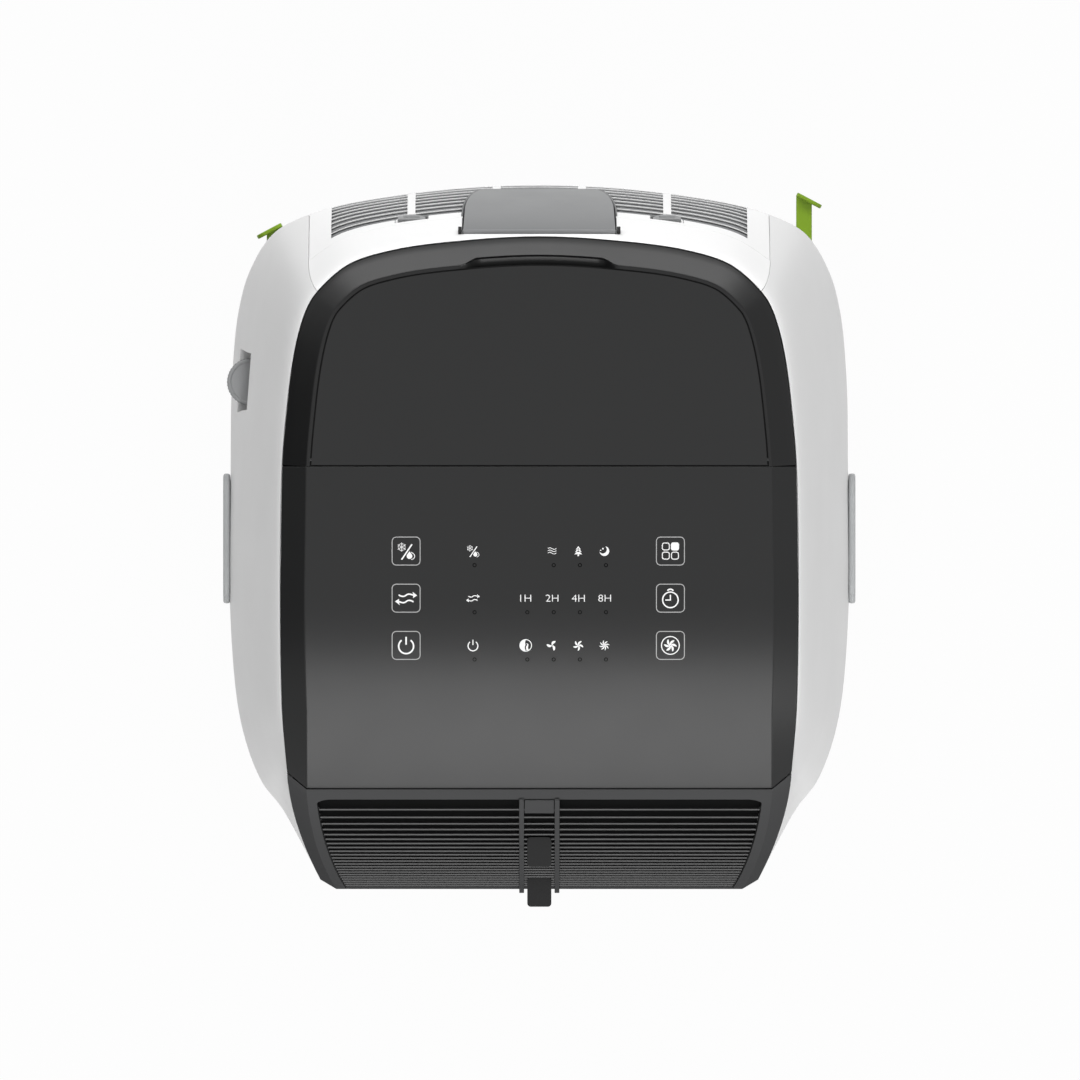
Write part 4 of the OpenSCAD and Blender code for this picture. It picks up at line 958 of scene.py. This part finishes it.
def catch_plan(r, travel=0.0):
    """A disc with one straight side, which lies towards the top. Travel makes it longer downwards."""
    flat = latch_r - r - 3
    return circle(0, travel, r, 0, 180, 32) + [(-r, flat), (r, flat)]


def catch_hole(side):
    hole = prism("cutter", catch_plan(latch_r + 1.7, 3), -12, 12)
    hole.data.transform(catch_place(side))
    return hole


print("catch tilt", round(math.degrees(latch_tilt), 1))

# %% [markdown]
# ## White shoulder behind the top
#
# The shoulder closes the back above the grille. The handle lies in a recess of it: a pan with a floor and
# two sides, with a round groove for the knuckle of its hinge and a narrow white strip left standing in front.
# The pan is the same white plastic as the shoulder; its grey is painted shade for the hollow round the handle.

# %% White shoulder
def cover_us(v):
    end = u_at(seam_x(v), v) - 0.025
    return spread(-end, end, 100)


cover = casing("shoulder", cover_us, edge_vs + spread(0.08, SLOT_SHARE, 9), 0, wall)
recess = [(frame_y + 1.8, edge_z + 4)] + [tuple(back_off(v, 8)) for v in (0.05, 0.09, 0.2, 0.4)]
recess += [tuple(back_off(v, -pan_deep)) for v in (0.4, 0.2, 0.12, 0.06)] + [(frame_y + 1.8, edge_z - 14)]
hinge, pan_end = back_off(HINGE_SHARE, -knuckle_r), flap_half + pan_gap
for plan in (recess, circle(*hinge, knuckle_r + 0.6)):
    cut(cover, prism("cutter", plan, -pan_end, pan_end, "x"))
for side in (-1, 1):
    cut(cover, catch_hole(side))
fit(cover, "casing", back_white_painted_light, 0.4, ["rear_top_cover"])
pan_vs = spread(0.03, 0.9, 18)
edge_steps = spread(0.03, 0.5, 16)
edge_steps += [lerp(0.5, FLAP_END + 0.03, math.sin(t * math.pi / 2)) for t in spread(0.05, 1, 24)]
pan = [prism("handle_recess", strip(pan_vs, -pan_deep, -pan_deep - 2), -pan_end - 1, pan_end + 1, "x")]
for side in (-1, 1):
    walls = []
    for d in (pan_gap, pan_gap + 1):
        rows = [(side * flap_edge(v, d), v, -3.2 if v < SLOT_SHARE + 0.01 else -1.2) for v in edge_steps]
        walls.append([[(x, *back_off(v, near)), (x, *back_off(v, -pan_deep - 1))] for x, v, near in rows])
    pan.append(sheet("pan_side", *walls))
# The pan's grey is painted shade: it is the same white moulding as the shoulder.
fit(join(*pan), "casing", recess_painted_shade, 0)
block_side, block_from, block_to = strip([0.02, 0.035, 0.05], 0.7, -4), flap_half + 0.9, flap_half + 3.2
blocks = [prism("hinge_block", block_side, s * block_from, s * block_to, "x") for s in (-1, 1)]
fit(join(*blocks), "casing", trim, 0.3)
print("recess", 2 * flap_half, "wide")

# %% [markdown]
# ## Slatted back
#
# The grille is a white frame with thin curved slats between upright stiles. Right behind the slats lies a
# grey net that keeps dust off the wet pad, which is why the openings look grey and not black. The
# slats are shallow, so that they show as fine lines from above.

# %% Grille frame
grille_top, grille_low = lerp(edge_z, rear_waist, SLOT_SHARE) - seam, 345
slat_pitch, slat_t, band_h = 12, 3, 11
foot_top = grille_low + 2.6 * slat_pitch
slat_gap, slat_out, slat_depth, pan_z = 1.0, 128.8, 0.75, lerp(edge_z, rear_waist, FLAP_END)


def shell_edge(z):
    return seam_x(level_of(z)) - 0.6


def slat_in(z):
    """The inner end of a slat: it stops beside the handle, and passes under its free end."""
    return flap_edge(level_of(z), slat_gap)


def plate(name, x_of, zs, near, thick, n=4):
    """A curved plate of the back. x_of gives its two ends at a height."""
    def face(d):
        return [[(x, back_y(x, z, d), z) for x in spread(*x_of(z), n)] for z in zs]

    return sheet(name, face(near), face(near + thick))


tall_zs = spread(grille_low, 705, 6) + spread(713, grille_top, 10)
parts = []
for s in (-1, 1):
    band_zs = spread(grille_top - band_h, grille_top, 4)
    head = plate("grille_frame", lambda z: (s * slat_in(z), s * shell_edge(z)), band_zs, 0, 2.5, 24)
    cut(head, catch_hole(s))
    parts.append(head)
    parts.append(plate("stile", lambda z: (s * slat_out, s * shell_edge(z)), tall_zs, 0.02, 3.4))
    stile_zs = [z for z in tall_zs if z < latch_z - 12] + [latch_z - 11.4]
    parts.append(plate("stile", lambda z: (s * 76.7, s * 81.7), stile_zs, 0.02, slat_depth + 0.8))
    short_zs = [z for z in tall_zs if z < pan_z] + [pan_z]
    parts.append(plate("stile", lambda z: (s * 24, s * 29), short_zs, 0.02, slat_depth + 0.8))
foot_zs = [grille_low, grille_low + 12, foot_top]
parts.append(plate("foot", lambda z: (-slat_out, slat_out), foot_zs, 0.02, 6, 40))
print("grille from", grille_low, "to", round(grille_top, 1))

# %% Slats
def slat(z, x0, x1, n):
    top = z + slat_t
    sides = [[(x, back_y(x, top, d)) for x in spread(x0, x1, n)] for d in (0, slat_depth)]
    return sheet("slat", *[[[(x, y, h) for x, y in line] for h in (z, top)] for line in sides])


count, z = 0, grille_top - band_h - slat_pitch - 1
while z > foot_top:
    end = slat_in(z + slat_t / 2)
    if end:
        parts += [slat(z, s * end, s * slat_out, 16) for s in (-1, 1)]
    else:
        parts.append(slat(z, -slat_out, slat_out, 40))
    z -= slat_pitch
    count += 1
fit(join(*parts), "casing", back_white_painted_light, 0.2, ["rear_grille"])
print("slats:", count)

# %% [markdown]
# ## Dust net behind the slats
#
# The net is a thin curved sheet with a coarse bump. It ends beside the handle and goes on below it.

# %% Dust net
nets, net_out, net_behind, net_t = [], slat_out + 1, 1.7, 1.2
net_zs = spread(grille_low + 18, 700, 8) + spread(706, grille_top - band_h + 3, 14)
high_zs, low_zs = [z for z in net_zs if z > pan_z], [z for z in net_zs if z < pan_z + 3]
for s in (-1, 1):
    ends = lambda z: (s * max(24, slat_in(z) + 0.6), s * net_out)
    net = plate("dust_net", ends, high_zs, net_behind, net_t, 16)
    cut(net, catch_hole(s))
    nets.append(net)
nets.append(plate("dust_net", lambda z: (-net_out, net_out), low_zs, net_behind, net_t, 32))
fit(join(*nets), "casing", net_grey, 0)
print("net rows:", len(net_zs))

# %% [markdown]
# ## Fold-out handle
#
# The handle follows the curve of the back and gets narrower and rounder towards its free end. Its width is
# worked out row by row, so that the corners are part of the sheet.

# %% Fold-out handle
flap_vs = spread(HINGE_SHARE, 0.5, 18)
flap_vs += [lerp(0.5, FLAP_END, math.sin(t * math.pi / 2)) for t in spread(0.04, 1, 28)]


def flap_row(v, d):
    p, w = back_off(v, d), flap_edge(min(v, FLAP_END - 0.0004))
    return [(x, p.x, p.y) for x in spread(-w, w, 24)]


handle = sheet("handle", [flap_row(v, 0) for v in flap_vs], [flap_row(v, -flap_t) for v in flap_vs])
knuckle = prism("knuckle", circle(*hinge, knuckle_r), -flap_half, flap_half, "x")
pins = [prism("pin", circle(*hinge, 2), s * (flap_half - 6), s * (flap_half + 3), "x") for s in (-1, 1)]
fit(join(handle, knuckle, *pins), "carry_handle", handle_grey, 0.5, ["carry_handle"])
print("handle reach", round(flap_reach, 1))

# %% [markdown]
# ## Grille catches
#
# Two small grey caps on the upper edge of the grille. Each is a disc with one straight side, on a stem that
# slides down against a spring. The white seat under it has a slot, so the stem has room to travel.

# %% Grille catches
for side, label in SIDES:
    cap = prism("catch_" + label, catch_plan(latch_r), 0.4, 2.8)
    ridges = [prism("ridge", rounded(10, 0.9, 0.4, (0, d), 3), 2.6, 3.1) for d in (0, 2, 4)]
    stem = prism("stem", rounded(7, 5, 0.5), -8, 1)
    seat = prism("catch_seat", catch_plan(latch_r + 1.4, 3), -5.4, 0)
    cut(seat, prism("cutter", rounded(7.8, 8.8, 0.5, (0, 1.5)), -6, 1))
    seat.data.transform(catch_place(side))
    fit(seat, "casing", back_white_painted_light, 0.2)
    foot = prism("foot", rounded(12, 9, 0.5), -8.2, -5.8)
    catch = join(cap, stem, foot, *ridges)
    catch.data.transform(catch_place(side))
    fit(catch, f"grille_latch_{label}", catch_grey, 0.3, [f"grille_latch_{label}"])
print("catches:", 2)

# %% [markdown]
# ## Wheels
#
# Each wheel has a black tyre with rounded shoulders and a grey hub with a dished face, turned on a lathe as
# the moulds for the real ones are.

# %% Wheels
bore = 3.1
for name in ("castor_wheel_left", "castor_wheel_right", "rear_wheel_left", "rear_wheel_right"):
    low, high = limits(name)
    mid, r, w = (low + high) / 2, (high.z - low.z) / 2, (high.x - low.x) / 2
    half_tyre = [(r * 0.7, w - 1.5), (r * 0.72, w), (r - 3, w), (r - 1, w - 1), (r, w - 3)]
    half_hub = [(bore, w - 0.3), (r * 0.3, w - 0.3), (r * 0.34, w - 2.2), (r * 0.62, w - 2.2)]
    half_hub += [(r * 0.66, w - 1), (r * 0.71, w - 1)]
    tyre, hub = [[(a, -b) for a, b in half] + half[::-1] for half in (half_tyre, half_hub)]
    fit(lathe(name + "_tyre", tyre, mid, "x", 72), name, rubber, 0.3, [name])
    fit(lathe(name + "_hub", hub, mid, "x", 72), name, frame_grey, 0.2)
print("wheel radius", round(r, 1))

# %% [markdown]
# ## Printed keys and marks
#
# The marks are silk-screened on the panel: rounded squares round the six keys, a symbol in each, a row of
# indicator symbols between them and a small ring round each indicator lamp. A thin closed film, bent over
# the same parabola as the panel, stands for the ink. An image would blur close up, a film stays crisp.

# %% A film that follows the panel
film_t = 0.3


class Film:
    """Collects flat shapes and lays them on the panel as one closed, very thin mesh."""

    def __init__(self, name, over=0.0):
        self.name, self.over, self.parts = name, over, []

    def area(self, outline):
        self.parts.append((outline, prism_faces(len(outline))))

    def line(self, points, width, closed=False):
        """A stroke of even width along points, with enough points to follow the roll of the panel."""
        pts = []
        for a, b in zip(points, points[1:] + points[:1] if closed else points[1:]):
            steps = max(1, math.ceil(math.dist(a, b) / 2.5))
            pts += [Vector(lerp2(a, b, k / steps)) for k in range(steps)]
        pts += [] if closed else [Vector(points[-1])]
        n = len(pts)
        left, right = [], []
        for i, p in enumerate(pts):
            before = pts[i - 1] if i or closed else p
            after = pts[(i + 1) % n] if i < n - 1 or closed else p
            a, b = (p - before), (after - p)
            a = a.normalized() if a.length > 1e-9 else b.normalized()
            b = b.normalized() if b.length > 1e-9 else a
            way = (a + b).normalized()
            side = Vector((-way.y, way.x)) * width / 2 / max(0.5, way.dot(b))
            left.append(tuple(p + side))
            right.append(tuple(p - side))
        if closed:
            self.parts.append((left + right, ring_faces(n)))
        else:
            self.area(left + right[::-1])

    def build(self, material):
        verts, faces = [], []
        for outline, local in self.parts:
            start = len(verts)
            for lift in (-film_t, self.over):
                verts += [(x, y, panel_z(y) + lift) for x, y in outline]
            faces += [tuple(start + i for i in f) for f in local]
        obj = solid(self.name, verts, faces)
        for f in obj.data.polygons:
            f.use_smooth = False
        fit(obj, "casing", material, 0)


def shift(points, cx, cy, s=1.0):
    return [(cx + s * x, cy + s * y) for x, y in points]


def curve_through(points):
    """A smooth line through a few points: a cubic between each two, whose slopes look to the next ones."""
    pts = [Vector(p) for p in (points[0], *points, points[-1])]
    out = []
    for a, b, c, d in zip(pts, pts[1:], pts[2:], pts[3:]):
        square, cube = 2 * a - 5 * b + 4 * c - d, 3 * b - a - 3 * c + d
        for t in spread(0, 1, 6)[:-1]:
            out.append(tuple(b + 0.5 * t * (c - a + t * square + t * t * cube)))
    return out + [points[-1]]


ink = Film("printed_marks")
lines = Film("key_outlines", -0.01)
lamps = Film("lamp_rings", -0.02)
print("films ready")

# %% Symbols
def reach(centre, r, degrees):
    """The point at a distance and a direction from centre."""
    a = math.radians(degrees)
    return (centre[0] + r * math.cos(a), centre[1] + r * math.sin(a))


def snow_and_drop(x, y, s):
    flake = (x - 2.7 * s, y + 2.45 * s)
    for k in range(3):
        ink.line([reach(flake, -2.8 * s, 90 + 60 * k), reach(flake, 2.8 * s, 90 + 60 * k)], 0.42 * s)
    for a in range(90, 450, 60):
        tip = reach(flake, 1.5 * s, a)
        ink.line([reach(tip, 1.15 * s, a + 50), tip, reach(tip, 1.15 * s, a - 50)], 0.36 * s)
    ink.line([(x + 3.6 * s, y + 4.1 * s), (x - 2.8 * s, y - 5.3 * s)], 0.85 * s)
    drop = [(0, 2.9)] + circle(0, 0, 1.75, 25, -205, 22)
    ink.area(shift(drop, x + 2.1 * s, y - 3.1 * s, s)[::-1])
    ink.line(shift(circle(0, 0, 1.95, -95, 62, 20) + [(-0.2, 2.5)], x + 3.35 * s, y - 3.2 * s, s), 0.45 * s)


def swing(x, y, s):
    """Two waved arrows. The second is the first one turned round."""
    wave = curve_through([(-4.55, 2.0), (-3.1, 1.25), (-1.2, 1.15), (0.8, 2.3), (2.4, 2.45), (4.6, 1.8)])
    head = [(6.85, 1.65), (3.95, 4.0), (4.5, 1.9), (4.3, 0.1)]
    for sign, low in ((1, 0), (-1, -0.3)):
        ink.line([(x + s * sign * px, y + s * (sign * py + low)) for px, py in wave], 0.9 * s)
        ink.area([(x + s * sign * px, y + s * (sign * py + low)) for px, py in head])


def power(x, y, s):
    ink.line(shift(circle(0, -0.5, 4.6, 127, 413, 44), x, y, s), 0.95 * s)
    ink.line(shift([(0, 5.3), (0, 0.4)], x, y, s), 0.95 * s)


def squares(x, y, s):
    for sx, sy in ((-1, 1), (-1, -1), (1, -1)):
        ink.line(shift(rounded(4.3, 4.3, 1.2, (2.83 * sx, 2.83 * sy), 4), x, y, s), 0.55 * s, True)
    ink.area(shift(rounded(5.0, 5.0, 1.3, (2.83, 2.83), 4), x, y, s))


def clock(x, y, s):
    ink.line(shift(circle(0, -1.05, 4.8), x, y, s), 0.8 * s, True)
    ink.line(shift([(0, 2.1), (0, -1.15), (-3.1, -1.15)], x, y, s), 0.75 * s)
    ink.line(shift(circle(0, 3.35, 2.15, 35, 145, 12), x, y, s), 0.9 * s)


def fan(x, y, r, blades, width):
    for k in range(blades):
        base = 90 + 360 * k / blades
        left, right = [], []
        for t in spread(0.06, 1, 12):
            a = math.radians(base - 38 * t)
            w = width * r * math.sin(math.pi * min(1, 0.12 + 0.80 * t) ** 1.4)
            p = (x + r * t * math.cos(a), y + r * t * math.sin(a))
            n = (-math.sin(a), math.cos(a))
            left.append((p[0] + w * n[0], p[1] + w * n[1]))
            right.append((p[0] - w * n[0], p[1] - w * n[1]))
        ink.area(left + right[::-1])


def waves(x, y):
    wave = curve_through([(-2.6, 0.1), (-1.3, 0.55), (0, 0), (1.3, -0.5), (2.6, 0.1)])
    for d in (1.5, 0.1, -1.3):
        ink.line(shift(wave, x, y + d), 0.38)


def tree(x, y):
    for top, w, low in ((3.1, 1.5, 1.0), (1.9, 2.0, -0.5), (0.5, 2.4, -2.0)):
        ink.area(shift([(0, top), (-w, low), (w, low)], x, y))
    ink.area(shift([(-0.45, -1.9), (-0.45, -3.1), (0.45, -3.1), (0.45, -1.9)], x, y))


def moon(x, y):
    outer, inner = circle(0, 0, 3.0, -150, 62, 30), circle(-0.95, 0.95, 2.45, -147, 58, 30)
    ink.area(shift(outer + inner[::-1], x, y))
    ink.area(shift(circle(-0.9, 1.5, 0.55, n=12), x, y))
    ink.area(shift(circle(-2.3, 0.5, 0.4, n=12), x, y))


def breeze(x, y):
    edge = curve_through([(0, -3.5), (-0.6, -1.2), (-0.2, 0.3), (-0.4, 1.8), (0, 3.5)])
    leaf = [(0.5, -3.2), (0.2, -1.0), (0.9, 0.4), (0.4, 1.3), (1.6, 0.6), (1.4, -1.4), (1.9, -2.8)]
    ink.line(shift(circle(0, 0, 3.6), x, y), 0.5, True)
    ink.area(shift(circle(0, 0, 3.5, 90, 270, 24) + edge, x, y))
    ink.area(shift(curve_through(leaf), x, y))


print("symbols ready")

# %% [markdown]
# The hour marks are figures from Blender's own plain font, turned into the same film. A small negative
# offset thins their strokes.

# %% Hour marks
key_xs, key_ys, key_size = (-82.3, 81.0), (-2.8, -31.9, -61.1), 18.0
letter_w, letter_h = 1.12, 4.3


def letters(text, x, y):
    """A word as a thin film, letter_h high and a little wider than the font has it."""
    curve = bpy.data.curves.new("figures", "FONT")
    curve.body, curve.align_x, curve.align_y = text, "CENTER", "CENTER"
    curve.size, curve.resolution_u, curve.extrude, curve.offset = 1.0, 3, 0.01, -0.012
    obj = add_object("figures", curve)
    mesh = bpy.data.meshes.new_from_object(obj.evaluated_get(bpy.context.evaluated_depsgraph_get()))
    bpy.data.objects.remove(obj)
    xs, ys = [[v.co[k] for v in mesh.vertices] for k in (0, 1)]
    mid, low, grow = (max(xs) + min(xs)) / 2, min(ys), letter_h / (max(ys) - min(ys))
    bm = bmesh.new()
    bm.from_mesh(mesh)
    bmesh.ops.remove_doubles(bm, verts=bm.verts, dist=1e-5)
    for v in bm.verts:
        px, py = x + (v.co.x - mid) * grow * letter_w, y + (v.co.y - low) * grow - letter_h / 2
        v.co = Vector((px, py, panel_z(py) - (0 if v.co.z > 0 else film_t))) * MM
    bm.to_mesh(mesh)
    bm.free()
    return add_object("hours_" + text, mesh)


hours = [letters(f"{n}H", x, key_ys[1]) for n, x in ((1, -8.4), (2, 7.9), (4, 24.1), (8, 40.4))]
print("hour marks:", [h.name for h in hours])

# %% Keys and indicators in their places
lamp_xs, lamp_drop = (-41.0, -8.4, 7.9, 24.1, 40.2), 8.7
for x in key_xs:
    for y in key_ys:
        lines.line(rounded(key_size - 0.7, key_size - 0.7, 2.6, (x, y), 6), 0.5, True)
for s, x in ((1.0, key_xs[0]), (0.70, lamp_xs[0])):
    snow_and_drop(x, key_ys[0], s)
    swing(x, key_ys[1], 1.0 if s == 1 else 0.62)
    power(x, key_ys[2], 1.0 if s == 1 else 0.66)
squares(key_xs[1], key_ys[0], 1.0)
clock(key_xs[1], key_ys[1], 1.0)
ink.line(circle(key_xs[1], key_ys[2], 5.5), 0.62, True)
fan(key_xs[1], key_ys[2], 3.9, 6, 0.19)
waves(lamp_xs[2], key_ys[0])
tree(lamp_xs[3], key_ys[0])
moon(lamp_xs[4], key_ys[0])
breeze(lamp_xs[1], key_ys[2])
fan(lamp_xs[2], key_ys[2], 3.3, 3, 0.25)
fan(lamp_xs[3], key_ys[2], 3.2, 5, 0.19)
fan(lamp_xs[4], key_ys[2], 3.1, 8, 0.125)
for row, y in enumerate(key_ys):
    for x in lamp_xs if row else lamp_xs[:1] + lamp_xs[2:]:
        lamps.line(circle(x + 1.0, y - lamp_drop, 1.0, n=24), 0.5, True)
print("keys:", len(key_xs) * len(key_ys))

# %% Ink finishes
ink_white = plastic("mark_white", (0.80, 0.80, 0.80, 1), 0.5, grain=0.02)
ink_grey = plastic("key_line_grey", tone(165), 0.5, grain=0.02)
lamp_dark = plastic("lamp_ring_black", (0.004, 0.004, 0.004, 1), 0.7, specular=0.0, grain=0.02)
ink.build(ink_white)
for h in hours:
    fit(h, "casing", ink_white, 0)
lines.build(ink_grey)
lamps.build(lamp_dark)
print("ink pieces:", 3 + len(hours))

# %% [markdown]
# ## Floor, light and camera
#
# The cooler stands on a pale floor and is seen from straight above. The floor and the world look white to
# the camera, to reflections and through clear parts only, so they put no extra light on the object, and the
# floor still takes its shadow.

# %% Floor and world
def seen_by_eye(tree):
    """1 for rays from the camera, a reflection or a clear part, 0 for the light that falls on things."""
    total = node(tree, "ShaderNodeLightPath", "Is Camera Ray", {})
    rays = total.node.outputs
    for name in ("Is Glossy Ray", "Is Transmission Ray"):
        total = node(tree, "ShaderNodeMath", "Value", {0: total, 1: rays[name]}, operation="MAXIMUM")
    return total


floor_size, floor_white = 60.0, 0.97
ground = bpy.data.meshes.new("floor")
h = floor_size / 2
ground.from_pydata([(-h, -h, 0), (h, -h, 0), (h, h, 0), (-h, h, 0)], [], [(0, 1, 2, 3)])
add_object("floor", ground)
stone = bpy.data.materials.new("pale_floor")
stone.use_nodes = True
ground.materials.append(stone)
stone_tree = stone.node_tree
shader = stone_tree.nodes["Principled BSDF"]
feed(stone_tree, shader, {"Base Color": (0.4, 0.4, 0.4, 1), "Roughness": 0.9, "Specular IOR Level": 0.1})
eye = {0: seen_by_eye(stone_tree), 1: floor_white}
eye_share = node(stone_tree, "ShaderNodeMath", "Value", eye, operation="MULTIPLY")
glow = node(stone_tree, "ShaderNodeEmission", "Emission", {})
layers = {"Fac": eye_share, 1: shader.outputs["BSDF"], 2: glow}
blend = node(stone_tree, "ShaderNodeMixShader", "Shader", layers)
feed(stone_tree, stone_tree.nodes["Material Output"], {"Surface": blend})

world = bpy.data.worlds.new("studio")
scene.world = world
world.use_nodes = True
sky = world.node_tree
levels = {"To Min": 0.28, "To Max": 1.0, "Value": seen_by_eye(sky)}
strength = node(sky, "ShaderNodeMapRange", "Result", levels)
feed(sky, sky.nodes["Background"], {"Color": (1, 1, 1, 1), "Strength": strength})
print("floor", floor_size, "m wide")

# %% [markdown]
# Four soft boxes light it. The large front one makes the roll of the panel shine, the wide low one behind
# brightens the white back, a small one at the right lifts that border, and a faint one above fills the rest.
# The black parts have little gloss, so the boxes show on them as soft gradients. A black card at the left
# keeps the left border dark: only reflections see it.

# %% Soft boxes
def soft_box(name, aim, azimuth, elevation, distance, size, radiance):
    """A rectangular lamp that looks at aim. Radiance is how bright its surface is."""
    light = bpy.data.lights.new(name, "AREA")
    light.shape, light.size, light.size_y = "RECTANGLE", size[0], size[1]
    light.energy = radiance * math.pi * size[0] * size[1]
    obj = add_object(name, light)
    a, e = math.radians(azimuth), math.radians(elevation)
    way = Vector((math.cos(e) * math.sin(a), math.cos(e) * math.cos(a), math.sin(e)))
    obj.location = Vector(aim) + distance * way
    obj.rotation_euler = way.to_track_quat("Z", "Y").to_euler()
    obj.visible_camera = False


aim = (0, 0, 0.8)
soft_box("front_box", aim, 180, 43, 3.0, (1.3, 2.5), 7.8)
soft_box("rear_box", aim, 0, 23.5, 3.0, (4.8, 0.8), 7.4)
soft_box("right_box", aim, 122, 24, 3.0, (1.0, 0.8), 6.5)
soft_box("top_box", aim, 0, 90, 4.0, (3.2, 3.2), 0.4)
card = prism("dark_card", rounded(2800, 1500, 20), -5, 5)
card_at, card_turn = Matrix.Translation((-2.77, 0, 1.95)), Matrix.Rotation(math.radians(67), 4, "Y")
card.data.transform(card_at @ card_turn)
card.data.materials.append(plastic("card_black", (0.002, 0.002, 0.002, 1), 0.9, specular=0.0))
for ray in ("camera", "diffuse", "shadow", "transmission"):
    setattr(card, "visible_" + ray, False)

# %% Camera straight above
view_w, view_z, lens, sensor = 0.6696, 0.75, 1600, 36
camera = add_object("camera", bpy.data.cameras.new("camera"))
camera.data.sensor_width, camera.data.lens = sensor, lens
camera.data.clip_start, camera.data.clip_end = 0.1, 200
camera.location = (0.00043, 0.00403, view_z + view_w * lens / sensor)
scene.camera = camera
print("camera height", round(camera.location.z, 2), "m")
